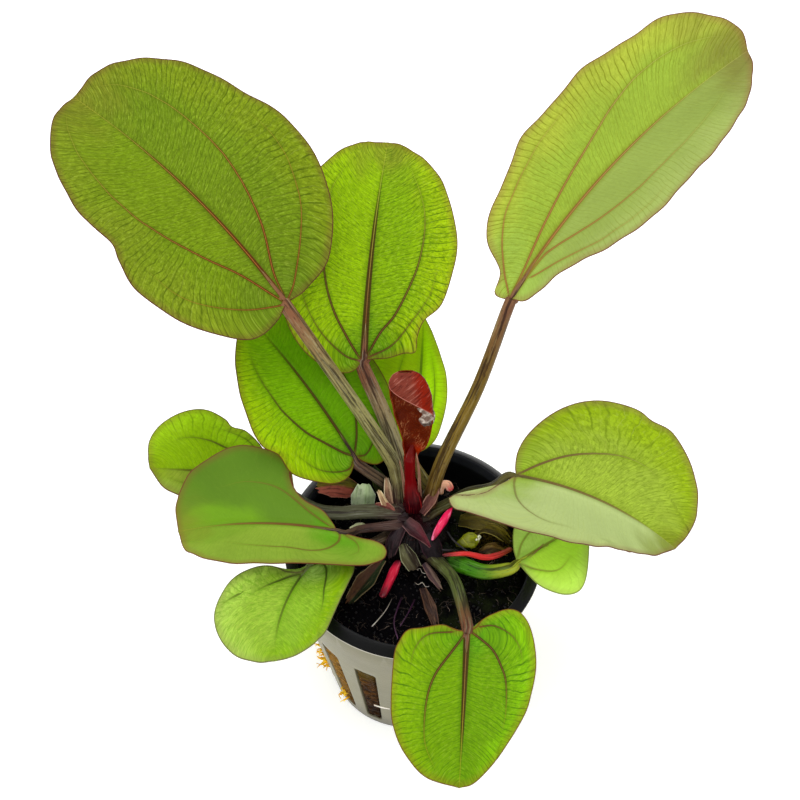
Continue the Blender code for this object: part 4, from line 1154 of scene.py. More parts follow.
def add_stalk(skin, leaf):
    """The stalk, grooved along its top and ribbed, and the keel that runs on from it under the blade."""
    foot, outward = stalk_foot([leaf.reach * part for part in leaf.base])
    junction, ahead, side, up = middle_vein(leaf, 0.0)
    end_radius = leaf.stalk[1]
    arrive = junction - up * (STALK_SINK * end_radius)
    start = [foot, foot + outward * STALK_LEAD_OUT]
    if leaf.reach < 1.0:
        middle, _ = stalk_foot([0.45 * leaf.reach * part for part in leaf.base])
        start = [middle - outward * FOOT_GAP, foot, foot + outward * 0.3]
    path = spline([*start, *leaf.via, arrive - ahead * STALK_LEAD_IN, arrive], STALK_STEPS)
    share = np.linspace(0.0, 1.0, STALK_STEPS + 1)
    radius = leaf.stalk[0] + (end_radius - leaf.stalk[0]) * share
    sheath = (1.0 - np.clip(share * steps_of(path).sum() / SHEATH_LENGTH, 0.0, 1.0)) ** 2
    t = np.arange(1, KEEL_STEPS + 1) / KEEL_STEPS
    under, _, _, under_up = middle_vein(leaf, leaf.length * MIDRIB_END * t)
    keel_radius = end_radius + (MIDRIB_TIP_RADIUS - end_radius) * t ** MIDRIB_TAPER
    sink = STALK_SINK + (KEEL_SINK - STALK_SINK) * smooth_step(0.0, 0.3, t)
    path = np.vstack([path, under - under_up * (sink * keel_radius)[:, None]])
    radius = np.append(radius, keel_radius)
    sheath = np.append(sheath, 0 * t)
    share = np.append(share, 1.0 + t)
    _, sides, ups = carried(path, side)
    angle = around(STALK_SIDES)
    dent = STALK_GROOVE * mound(angle - pi / 2, 0.45)
    ribs = STALK_RIB_HEIGHT * np.cos(STALK_RIBS * angle + leaf.yaw)
    open_ = np.clip((1.6 - share) / 0.6, 0.0, 1.0)[:, None]
    round_ = radius[:, None] * (1.0 - dent * open_ + ribs)
    strap = leaf.strap * smooth_step(1.05, 0.85, share)
    across = round_ * np.cos(angle) * (1.0 + SHEATH_FLARE * sheath + strap)[:, None]
    raised = round_ * np.sin(angle) * (1.0 - SHEATH_FLATTEN * sheath - 0.5 * strap)[:, None]
    travelled = np.append(0.0, np.cumsum(steps_of(path)))
    skin.tube(round_path(path, sides, ups, across, raised), slot=1,
              place=np.stack([share[:, None] + 0 * across, 0 * across, 0 * across], -1),
              net=np.stack([travelled[:, None] + 0 * across, across, raised], -1))


def cross_lines(finish, way):
    """The distance from the nearest of many lines that cross a way at uneven steps."""
    return finish.node("ShaderNodeTexVoronoi", {"voronoi_dimensions": "1D", "feature": "DISTANCE_TO_EDGE"},
                       {"W": way, "Scale": 1.0}, output="Distance")


def blade_finish(name, leaf):
    """Leaf tissue: two greens on each half, a net of cross veins, main veins and a coloured margin."""
    finish = Finish(name)
    level, out, half = finish.split(finish.mark("place"))
    cross, side, edge = finish.split(finish.mark("net"))
    apart = finish.split(finish.mark("veins"))
    widths = finish.split(finish.mark("widths"))
    left_in, left_out, right_in, right_out, foot, tip = [paint(*green) for green in leaf.greens]
    flat = finish.joined(cross, side, leaf.length)
    is_left = finish.step(half, 0.4, 0.6)
    clouds = finish.cloud(flat, 0.16, 3.0)
    drift = finish.cloud(flat, 0.07, 2.0)
    outer = finish.step(out - level * leaf.turn_lean + (clouds - 0.5) * 0.5, *leaf.turn_at)
    green = finish.mix(is_left, finish.mix(outer, right_in, right_out), finish.mix(outer, left_in, left_out))
    green = finish.mix(finish.step(level + (clouds - 0.5) * 0.3, 0.26, 0.02) * 0.75, green, foot)
    green = finish.mix(finish.step(level + (clouds - 0.5) * 0.3, 0.74, 1.0) * 0.8, green, tip)

    wobble = finish.cloud(flat, 0.5, 3.0)
    bend = finish.cloud(flat, 0.1, 2.0)
    rungs = cross_lines(finish, cross * 1.1 + wobble * 0.4 + bend * 3.0)
    fine = cross_lines(finish, cross * 2.2 + wobble * 0.8 + bend * 5.0)
    pale = cross_lines(finish, cross * 0.75 + wobble * 0.35 + bend * 2.0 + 40.0)
    grit = finish.cloud(finish.joined(cross * 3.0 + wobble, side * 0.9 + wobble), 1.0, 2.0, 0.7)
    cells_at = finish.joined(cross * 2.6 + wobble, side * 1.3 + wobble)
    cells = finish.node("ShaderNodeTexVoronoi", {"voronoi_dimensions": "2D",
                                                 "feature": "DISTANCE_TO_EDGE"},
                        {"Vector": cells_at, "Scale": 1.0}, output="Distance")
    tone = finish.node("ShaderNodeTexVoronoi", {"voronoi_dimensions": "2D"},
                       {"Vector": cells_at, "Scale": 1.0}, output="Color")
    clear = leaf.net[1] + (leaf.net[0] - leaf.net[1]) * is_left
    patchy = 0.35 + 0.65 * finish.step(finish.cloud(flat, 0.28, 2.0), 0.38, 0.6)
    far_out = 0.62 + 0.38 * finish.step(out, 0.3, 0.8)
    dark = paint(*leaf.net_colour)
    grain = clear * leaf.grain
    speckle = 1.0 + (finish.split(tone)[0] - 0.5) * 0.5 * grain
    green = finish.mix(1.0, green, (0.84 + 0.32 * drift) * speckle, "MULTIPLY")
    green = finish.mix(finish.step(cells, 0.14, 0.02) * grain * 0.4, green, dark)
    green = finish.mix(finish.step(grit, 0.47, 0.37) * grain * 0.8, green, dark)
    green = finish.mix(finish.step(grit, 0.56, 0.66) * grain * 0.5, green, paint(176, 198, 70))
    green = finish.mix(finish.step(fine, 0.14, 0.03) * clear * (1.2 - patchy) * 0.45, green, dark)
    green = finish.mix(finish.step(rungs, 0.12, 0.03) * clear * patchy * far_out, green, dark)
    green = finish.mix(finish.step(pale, 0.035, 0.01) * leaf.light_veins * (1.2 - patchy) * 0.6, green,
                       paint(176, 188, 80))

    tan = finish.mix(finish.step(level, 0.15, 0.8), paint(*leaf.vein_foot), paint(*leaf.vein_tip))
    # Painted shadow: a dark red-brown line runs along each side of a vein, with a softer painted shade
    # beyond it.
    brown = finish.mix(finish.step(level, 0.55, 1.0), paint(*leaf.painted_vein_shadow), dark)
    groove = 0.0
    drawn = 0.45 + 0.55 * finish.step(clear, 0.0, 0.5)
    for gap, width in zip(apart, widths):
        present = finish.step(width, 0.0, 0.08) * drawn
        core = finish.step(abs(gap) - width * 0.22, 0.06, -0.04) * present
        flank = finish.step(abs(gap) - width * 1.1, 0.14, -0.04) * finish.step(width, 0.05, 0.16) * drawn
        shade = finish.step(abs(gap) - width, 0.8, 0.0) * present
        green = finish.mix(shade * 0.3, green, dark)
        green = finish.mix(flank * 0.9, green, brown)
        green = finish.mix(core * 0.85, green, tan)
        groove = groove + core
    # The middle vein gets the same painted shadow and a wider painted shade, strongest near the foot.
    rib = leaf.rib[0] + (leaf.rib[1] - leaf.rib[0]) * level
    core = finish.step(abs(side) - rib * 0.16, 0.06, -0.05)
    flank = finish.step(abs(side) - rib * 1.1, 0.18, -0.05) * finish.step(level, 1.0, 0.6)
    shade = finish.step(abs(side) - rib, 1.4, 0.0) * finish.step(level, 1.0, 0.4)
    green = finish.mix(shade * 0.45, green, dark)
    green = finish.mix(flank * 0.9, green, brown)
    green = finish.mix(core * 0.9, green, tan)

    warm = finish.step(edge + (clouds - 0.5) * 1.6, 1.9, 0.2)
    green = finish.mix(warm * 0.35, green, paint(*leaf.margin))
    rim = paint(*[0.84 * part for part in leaf.margin])
    green = finish.mix(finish.step(edge, 0.28, 0.1), green, rim)
    height = (finish.step(rungs, 0.0, 0.3) * clear * far_out + finish.step(cells, 0.0, 0.3) * 0.5 * clear
              - groove * 0.6)
    rough = leaf.gloss + 0.14 * clouds + 0.1 * wobble
    return finish.surface(green, rough, height, 0.08, 0.9, through=0.2, Specular_IOR_Level=0.07)


def stalk_finish(name, leaf):
    """Stalk tissue: long fine stripes over a colour that changes from the crown to the blade."""
    finish = Finish(name)
    share = finish.split(finish.mark("place"))[0]
    run, across, raised = finish.split(finish.mark("net"))
    foot, middle, top = leaf.stalk_tones
    stripes = finish.cloud(finish.joined(run * 0.07, across * 1.3, raised * 1.3), 1.0, 4.0, 0.6)
    threads = finish.cloud(finish.joined(run * 0.12, across * 4.0, raised * 4.0), 1.0, 2.0, 0.6)
    flecks = finish.cloud(finish.joined(run * 0.8, across * 3.0, raised * 3.0), 1.0, 3.0, 0.6)
    blotch = finish.cloud(finish.joined(run, across, raised), 0.35, 3.0)
    dark = [0.5 * part for part in foot]
    light = [0.7 * part + 64 for part in middle]
    keel = [0.85 * part for part in leaf.greens[0]]
    shaded = leaf.shaded
    colour = finish.tint(paint(*foot), middle, share + (blotch - 0.5) * 0.25, shaded, shaded + 0.26)
    colour = finish.tint(colour, top, share + (blotch - 0.5) * 0.2, 0.5, 0.98)
    colour = finish.tint(colour, keel, share, 1.02, 1.45)
    colour = finish.tint(colour, dark, stripes, 0.5, 0.38, 0.8)
    colour = finish.tint(colour, light, stripes, 0.6, 0.7, 0.6)
    colour = finish.tint(colour, light, threads, 0.56, 0.64, 0.4)
    colour = finish.tint(colour, dark, flecks, 0.42, 0.34, 0.5)
    colour = finish.tint(colour, dark, share, shaded + 0.1, shaded - 0.06, 0.85)
    return finish.surface(colour, 0.4 + 0.2 * blotch, stripes + threads, 0.12, 0.9,
                          Specular_IOR_Level=0.12)


for leaf_name, leaf in LEAVES.items():
    skin = Skin()
    add_blade(skin, leaf)
    add_stalk(skin, leaf)
    piece = skin.piece(leaf_name + "_grown", [blade_finish(leaf_name + "_blade", leaf),
                                              stalk_finish(leaf_name + "_stalk", leaf)])
    hand_over(piece, leaf_name, "leaf")

# The newest leaf: still rolled round its middle vein, glossy and red-brown, on a crimson stalk. Its right
# half folds over the front, and the fold's lower corner has dried to a pale scrap.

YOUNG_BASE = (-0.4, 1.4)
YOUNG_LEAD_OUT = 2.0
YOUNG_PATH = ((-1.4, 11.6, 57.0), (-1.9, 13.6, 65.4), (-1.2, 14.4, 69.5), (-2.1, 16.2, 77.5),
              (-3.9, 18.8, 86.0))
YOUNG_ACROSS = np.array((1.0, -0.1, 0.15))
YOUNG_WIDTHS = ((0.38, 1.25), (0.42, 1.5), (0.47, 2.3), (0.55, 3.0), (0.62, 3.5), (0.7, 4.05), (0.77, 4.1),
                (0.83, 4.3), (0.9, 4.0), (0.95, 3.5), (0.985, 2.6), (1.0, 1.5))
YOUNG_DEPTHS = ((0.38, 1.25), (0.5, 1.6), (0.7, 1.7), (0.9, 1.4), (1.0, 0.5))
YOUNG_SHIFT = 0.3
YOUNG_THICKNESS = 0.3
YOUNG_STALK_RADIUS = 1.2
YOUNG_STALK_BEHIND = 2.1
YOUNG_STALK_TO = 0.8
YOUNG_BLADE_FROM = 0.38
CRUMPLE = 0.12
FOLD_FROM = 0.7
FOLD_TO = 0.93
FOLD_LIFT = 0.35
SCRAP_AT = 0.7
SCRAP_HALF_LENGTH = 0.07
SCRAP_FROM = 1.9
SCRAP_TO = 4.7
SCRAP_COLUMNS = 12
SCRAP_THICKNESS = 0.15
YOUNG_ROWS = 110
YOUNG_COLUMNS = 90


def read_pairs(pairs, shares):
    """Read (share, value) pairs at the given shares."""
    places, values = zip(*pairs)
    return np.interp(shares, places, values)


def add_sheet(skin, middle, thickness, slot=0, **marks):
    """Add a thin closed sheet round a grid of middle points, with a rim along its four edges."""
    out = unit(np.cross(np.gradient(middle, axis=0), np.gradient(middle, axis=1)))
    half = 0.5 * np.asarray(thickness)[..., None] * out
    skin.grid(middle + half, slot, **marks)
    skin.grid(middle - half, slot, **marks)

    def border(values):
        return np.concatenate([values[0, :-1], values[:-1, -1], values[-1, :0:-1], values[:0:-1, 0]])

    ends = {name: np.stack([border(np.asarray(v, float))] * 2) for name, v in marks.items()}
    skin.grid(np.stack([border(middle + half), border(middle - half)]), slot, True, **ends)


def make_young_leaf():
    skin = Skin()
    foot, outward = stalk_foot(YOUNG_BASE)
    path = spline([foot, foot + outward * YOUNG_LEAD_OUT, *YOUNG_PATH], YOUNG_ROWS)
    _, sides, backs = carried(path, YOUNG_ACROSS)
    ups = -backs
    share = np.linspace(0.0, 1.0, YOUNG_ROWS + 1)
    travelled = share * steps_of(path).sum()

    angle = around(STALK_SIDES)
    radius = YOUNG_STALK_RADIUS * (1.0 + 0.8 * smooth_step(0.24, 0.0, share))
    radius = radius * (1.0 - 0.7 * smooth_step(0.36, 0.5, share))
    ribs = 1.0 + 0.05 * np.cos(STALK_RIBS * angle) - 0.12 * mound(angle - pi / 2, 0.4)
    behind = smooth_step(0.36, 0.46, share)[:, None]
    across = radius[:, None] * np.cos(angle) * ribs + YOUNG_SHIFT * behind
    raised = radius[:, None] * np.sin(angle) * ribs - YOUNG_STALK_BEHIND * behind
    points = round_path(path, sides, ups, across, raised)
    place = np.stack([share[:, None] + 0 * across, 0 * across, 0 * across], -1)
    net = np.stack([travelled[:, None] + 0 * across, across, raised], -1)
    rows = share < YOUNG_STALK_TO
    skin.tube(points[rows], 1, place=place[rows], net=net[rows])

    rows = share > YOUNG_BLADE_FROM
    t = share[rows][:, None]
    s = np.linspace(0.0, 1.0, YOUNG_COLUMNS + 1)[None, :]
    flap = np.clip((t - FOLD_FROM) / (FOLD_TO - FOLD_FROM), 0.0, 1.0)
    turn = pi * (1.0 + s * (1.0 + flap))
    over = np.clip(turn / pi - 2.0, 0.0, 1.0)
    wide = read_pairs(YOUNG_WIDTHS, t)
    deep = read_pairs(YOUNG_DEPTHS, t)
    crumple = CRUMPLE * np.sin(9 * t + 7 * s) * np.sin(23 * t + 3 * s) * smooth_step(0.5, 0.7, t)
    across = wide * np.cos(turn) * (1.0 + 0.05 * over) + YOUNG_SHIFT
    closed = smooth_step(1.0, 0.9, t)
    raised = deep * np.sin(turn) * (1.0 - 0.55 * over) + FOLD_LIFT * over * closed + crumple
    points = round_path(path[rows], sides[rows], ups[rows], across, raised)
    edge = np.minimum(s, 1.0 - s) * wide * pi * (1 + flap) + 0 * t
    add_sheet(skin, points, np.full(points.shape[:2], YOUNG_THICKNESS),
              place=np.stack([t + 0 * s, s + 0 * t, over], -1),
              net=np.stack([travelled[rows][:, None] + 0 * s, across, edge], -1))

    rows = np.abs(share - SCRAP_AT) < SCRAP_HALF_LENGTH
    t = (share[rows][:, None] - SCRAP_AT) / SCRAP_HALF_LENGTH
    s = np.linspace(0.0, 1.0, SCRAP_COLUMNS + 1)[None, :]
    across = SCRAP_FROM + (SCRAP_TO - SCRAP_FROM) * s + 0.5 * np.sin(5 * t) * (1 - s) - 0.7 * t * t * s
    raised = 0.7 - 1.1 * s * s + 0.2 * np.sin(7 * t + 4 * s) * np.sin(9 * s - 2 * t)
    points = round_path(path[rows], sides[rows], ups[rows], across, raised)
    add_sheet(skin, points, np.full(points.shape[:2], SCRAP_THICKNESS), 2,
              place=np.stack([t + 0 * s, s + 0 * t, 0 * across], -1))
    return skin.piece("young_leaf_grown",
                      [young_blade_finish(), young_stalk_finish(), young_scrap_finish()])


def young_blade_finish():
    finish = Finish("young_blade")
    share, _, over = finish.split(finish.mark("place"))
    run, across, edge = finish.split(finish.mark("net"))
    flat = finish.joined(run, across, over * 3.0)
    clouds = finish.cloud(flat, 0.3, 4.0)
    mottles = finish.cloud(flat, 1.1, 4.0, 0.6)
    slant = finish.joined((run - across * 0.8) * 2.4, (run + across) * 0.22, over)
    veins = finish.cloud(slant, 1.0, 3.0, 0.6)
    glint_lines_place = finish.joined(run * 0.7 + across * 0.5, across * 3.4 - run, over)
    painted_glint_lines = finish.cloud(glint_lines_place, 1.0, 4.0, 0.7, 0.8)
    folded = finish.step(over, 0.0, 0.08)
    inner = finish.mix(clouds, paint(50, 6, 0), paint(112, 32, 0))
    inner = finish.tint(inner, (120, 42, 6), mottles, 0.52, 0.72, 0.5)
    # Painted highlights: pale streaks of fine lines in patches on the glossy inner part.
    inner = finish.mix(finish.step(painted_glint_lines, 0.53, 0.6) * finish.step(clouds, 0.46, 0.6) * 0.8, inner,
                       paint(172, 110, 70))
    red_foot = finish.tint(paint(84, 6, 2), (156, 38, 4), across, -0.5, 2.0)
    inner = finish.mix(finish.step(share, 0.5, 0.42) * 0.8, inner, red_foot)
    outer = finish.mix(clouds, paint(96, 34, 24), paint(132, 62, 48))
    outer = finish.tint(outer, (126, 24, 2), across, 0.6, 3.2)
    outer = finish.tint(outer, (178, 116, 100), veins, 0.57, 0.64, 0.4)
    outer = finish.tint(outer, (62, 14, 8), veins, 0.45, 0.37, 0.6)
    colour = finish.mix(folded, inner, outer)
    colour = finish.mix(finish.step(edge + (mottles - 0.5) * 0.2, 0.42, 0.15) * 0.7, colour,
                        finish.mix(folded, paint(112, 36, 10), paint(190, 120, 106)))
    return finish.surface(colour, 0.2 + 0.2 * mottles, veins + mottles, 0.25, 0.9, Specular_IOR_Level=0.06)


def young_stalk_finish():
    finish = Finish("young_stalk")
    share = finish.split(finish.mark("place"))[0]
    run, across, raised = finish.split(finish.mark("net"))
    stripes = finish.cloud(finish.joined(run * 0.06, across * 1.8, raised * 1.8), 1.0, 3.0, 0.6)
    colour = finish.tint(paint(34, 2, 8), (104, 6, 10), share, 0.02, 0.2)
    # Painted highlight: lighter red streaks along the stalk.
    colour = finish.tint(colour, (156, 30, 28), stripes, 0.54, 0.68, 0.6)
    colour = finish.tint(colour, (52, 0, 4), stripes, 0.46, 0.34, 0.8)
    colour = finish.tint(colour, (90, 8, 2), share, 0.35, 0.41)
    return finish.surface(colour, 0.25, stripes, 0.1, 0.9, Specular_IOR_Level=0.1)


def young_scrap_finish():
    finish = Finish("young_scrap")
    along = finish.split(finish.mark("place"))[0]
    clouds = finish.cloud(finish.place(), 1.1, 4.0, 0.6)
    colour = finish.tint(paint(112, 88, 76), (190, 176, 164), clouds, 0.4, 0.6)
    colour = finish.tint(colour, (48, 30, 26), along + (clouds - 0.5), -0.4, -0.7, 0.8)
    return finish.surface(colour, 0.5, clouds, 0.2, 0.9, Specular_IOR_Level=0.2)


hand_over(make_young_leaf(), "young_leaf", "young_leaf")

# Cut stalks, red shoots and roots: juicy stems, crimson to coral, that were trimmed or have just come up.
# Each has fine ribs and a darker end. Thin roots and dry threads lie between them and on the medium.

STEM_STEPS = 40
STEM_SIDES = 18
STEM_END_ROUND = 0.7
FLUFF = ((-157.0, 12.5, 26), (-156.0, 19.5, 16), (-137.0, 7.0, 14))
FLUFF_LENGTHS = (0.8, 2.4)
FLUFF_RADIUS = 0.2
FLUFF_STEPS = 8
FLUFF_SIDES = 6
FLUFF_SPREAD = 3.0
FLUFF_HEIGHTS = 2.5
FLUFF_BEND = 0.45
FLUFF_SUNK = 0.4
FLUFF_SEED = 7


class Stem(NamedTuple):
    """A stem or a root: the points that it passes, its radius along it, and its colours.

    tones are the colour at the start, in the middle and at the end, then the light stripe along it.
    flat is how much flatter than round it is. Roots and threads have no slot of their own.
    """

    slot: str
    path: tuple
    radii: tuple
    tones: tuple
    flat: float = 0.0


ROOT_TONES = ((26, 22, 26), (44, 38, 42), (70, 62, 60), (134, 126, 124))
PURPLE_TONES = ((26, 6, 22), (52, 14, 46), (34, 8, 30), (110, 66, 104))
PALE_TONES = ((120, 108, 96), (176, 166, 152), (206, 198, 186), (236, 230, 220))
THREAD_TONES = ((96, 52, 30), (150, 104, 72), (120, 66, 44), (206, 168, 128))

STEMS = {
    "cut_stalk_right": Stem(
        "red_stalk", ((6.2, -1.4, 49.4), (11.2, -1.2, 50.2), (15.2, -1.9, 50.3), (18.1, -1.1, 50.3),
                      (20.9, 0.6, 50.4)),
        (0.5, 0.85, 0.95, 0.9, 0.7), ((52, 2, 14), (214, 48, 48), (132, 60, 26), (238, 112, 104)), 0.45),
    "cut_stalk_front": Stem(
        "red_stalk", ((-3.0, -0.9, 45.6), (-4.6, -6.0, 46.2), (-6.1, -11.0, 46.8)),
        (0.7, 1.0, 1.0, 0.75), ((40, 2, 14), (204, 24, 58), (96, 4, 24), (236, 96, 118)), 0.2),
    "red_shoot": Stem(
        "red_stalk", ((7.9, 10.2, 50.9), (6.1, 6.3, 50.9), (3.9, 1.9, 49.9)),
        (0.2, 0.75, 0.95, 0.75, 0.3), ((206, 16, 70), (214, 12, 76), (120, 2, 36), (250, 130, 170)), 0.45),
    "pale_shoot": Stem(
        "pale_shoot", ((5.3, 14.3, 49.4), (5.6, 15.2, 51.2), (6.8, 15.2, 51.9), (7.6, 13.9, 51.4)),
        (0.75, 0.95, 0.75), ((212, 160, 120), (236, 176, 142), (210, 60, 70), (250, 226, 200)), 0.2),
    "root_loop": Stem(
        "", ((4.1, 5.1, 47.2), (4.8, 3.4, 47.5), (5.7, 1.4, 47.5), (7.2, 1.2, 47.4), (9.1, 1.8, 46.6),
             (10.5, 2.5, 44.5), (11.0, 3.0, 43.0)), (0.22, 0.26, 0.2), ROOT_TONES),
    "root_twig": Stem(
        "", ((7.1, 6.4, 47.0), (8.5, 4.2, 47.0), (10.4, 2.7, 46.6), (12.2, 1.3, 46.4), (13.0, 0.6, 45.0),
             (13.6, 0.0, 43.2)), (0.2, 0.16), ROOT_TONES),
    "root_purple_long": Stem(
        "", ((-1.9, -8.6, 43.4), (-2.8, -12.1, 43.9), (-3.3, -15.3, 43.7), (-2.3, -18.8, 43.2)),
        (0.2, 0.14), PURPLE_TONES),
    "root_purple_short": Stem(
        "", ((0.9, -8.9, 43.3), (-0.4, -12.7, 43.9), (-2.0, -15.9, 43.5)), (0.16, 0.12), PURPLE_TONES),
    "root_whitish": Stem(
        "", ((-4.0, -9.2, 43.5), (-5.1, -12.2, 43.9), (-6.7, -14.8, 43.9), (-7.9, -16.3, 43.6)),
        (0.05, 0.1, 0.12), PALE_TONES),
    "root_curl": Stem(
        "", ((0.4, -1.6, 44.3), (0.9, -2.3, 44.7), (1.7, -2.0, 44.6), (2.2, -2.9, 44.5), (3.0, -3.0, 44.3)),
        (0.05, 0.08, 0.06), PALE_TONES),
    "root_curl_low": Stem(
        "", ((0.6, -5.0, 43.9), (1.4, -5.9, 44.4), (2.3, -5.3, 44.3), (3.0, -6.3, 44.4), (3.8, -6.0, 44.0)),
        (0.05, 0.08, 0.05), PALE_TONES),
    "root_on_wall": Stem(
        "", ((-6.7, -22.2, 20.2), (-5.0, -22.9, 20.6), (-3.2, -23.4, 21.0)), (0.14, 0.16, 0.1),
        ((226, 206, 190), (244, 236, 226), (236, 220, 204), (252, 250, 244))),
    "thread_long": Stem(
        "", ((19.6, -6.5, 51.6), (22.5, -5.5, 53.2), (25.6, -2.4, 54.0), (27.8, 0.5, 54.0)),
        (0.06, 0.08), THREAD_TONES),
    "thread_short": Stem(
        "", ((20.8, -5.5, 52.0), (24.5, -3.7, 53.6), (28.4, -0.5, 54.2)), (0.07, 0.05), THREAD_TONES),
}


def make_stem(name, stem):
    path = spline(stem.path, STEM_STEPS)
    _, sides, ups = carried(path, np.array((1.0, 0.3, 0.2)))
    share = np.linspace(0.0, 1.0, STEM_STEPS + 1)[:, None]
    from_end = np.minimum(share, 1.0 - share) * steps_of(path).sum()
    radius = np.interp(share, np.linspace(0.0, 1.0, len(stem.radii)), stem.radii)
    closing = np.sqrt(1.0 - (1.0 - np.clip(from_end / (STEM_END_ROUND * radius), 0.12, 1.0)) ** 2)
    angle = around(STEM_SIDES)
    ribs = 1.0 + 0.06 * np.cos(5 * angle + 4 * share) + 0.05 * np.sin(2 * angle + 9 * share)
    radius = radius * closing * ribs
    across = radius * np.cos(angle)
    raised = radius * np.sin(angle) * (1.0 - stem.flat)
    skin = Skin()
    skin.tube(round_path(path, sides, ups, across, raised),
              place=np.stack([share + 0 * across, across, raised], -1))

    finish = Finish(name)
    share, across, raised = finish.split(finish.mark("place"))
    start, middle, end, light = stem.tones
    dark = [0.5 * part for part in middle]
    stripes = finish.cloud(finish.joined(share * 1.6, across * 1.7, raised * 1.7), 1.0, 3.0, 0.6)
    colour = finish.tint(paint(*start), middle, share, 0.0, 0.3)
    colour = finish.tint(colour, end, share, 0.65, 1.0)
    # Painted highlight: the light stripe tone lies in streaks along each stem.
    colour = finish.tint(colour, light, stripes, 0.56, 0.68, 0.6)
    colour = finish.tint(colour, dark, stripes, 0.44, 0.32, 0.6)
    material = finish.surface(colour, 0.25 + 0.2 * stripes, stripes, 0.15, 0.9, Specular_IOR_Level=0.25)
    return skin.piece(name + "_grown", [material])


for stem_name, stem in STEMS.items():
    hand_over(make_stem(stem_name, stem), stem_name, stem.slot)


def make_fluff():
    """Golden fibres of the rock wool that stick out of the pot's slots."""
    chance = np.random.default_rng(FLUFF_SEED)
    angle = around(FLUFF_SIDES)
    radius = FLUFF_RADIUS * np.linspace(1.0, 0.4, FLUFF_STEPS + 1)[:, None]
    skin = Skin()
    for azimuth, middle_height, count in FLUFF:
        for _ in range(count):
            turn = radians(azimuth + chance.uniform(-FLUFF_SPREAD, FLUFF_SPREAD))
            height = middle_height + chance.uniform(-FLUFF_HEIGHTS, FLUFF_HEIGHTS)
            out = np.array((cos(turn), sin(turn), 0.0))
            start = out * (wall_radius(height) - FLUFF_SUNK) + (0.0, 0.0, height)
            length = chance.uniform(*FLUFF_LENGTHS)
            bends = chance.uniform(-FLUFF_BEND, FLUFF_BEND, (2, 3)) * length
            middle, end = start + out * 0.5 * length + bends[0], start + out * 0.8 * length + bends[1]
            path = spline([start, middle, end], FLUFF_STEPS)
            _, sides, ups = carried(path, np.array((0.3, 0.2, 1.0)))
            skin.tube(round_path(path, sides, ups, radius * np.cos(angle), radius * np.sin(angle)))
    finish = Finish("slot_fluff")
    shade = finish.cloud(finish.place(), 0.6, 2.0)
    colour = finish.tint(paint(232, 172, 30), (246, 214, 60), shade, 0.4, 0.6)
    return skin.piece("slot_fluff", [finish.surface(colour, 0.6, Specular_IOR_Level=0.05)])


hand_over(make_fluff())

# What is left of older leaves round the crown: withered blades, papery sheaths and a pointed bract. They
# are thin strips of tissue, creased along their length and ragged at their ends.

STRAP_ROWS = 44
STRAP_COLUMNS = 22
STRAP_WRINKLE = 0.22


class Strap(NamedTuple):
    """A strip of old tissue that follows a path, as wide as widths says.

    across points out from the path's end towards the strip's left edge. colours are the left edge's
    tone at the start and at the end, then the right edge's. edge and streak are thin lines of colour.
    cup curves it across its width, crease folds it along its middle and ragged tears its end. The
    smaller strips, which are only mesh, have no slot of their own.
    """

    slot: str
    path: tuple
    widths: tuple
    across: tuple
    colours: tuple
    edge: tuple = (142, 108, 78)
    streak: tuple = (36, 22, 18)
    streaks: float = 0.6
    cup: float = 0.25
    crease: float = 0.0
    ragged: float = 0.1
    thickness: float = 0.25
    gloss: float = 0.42


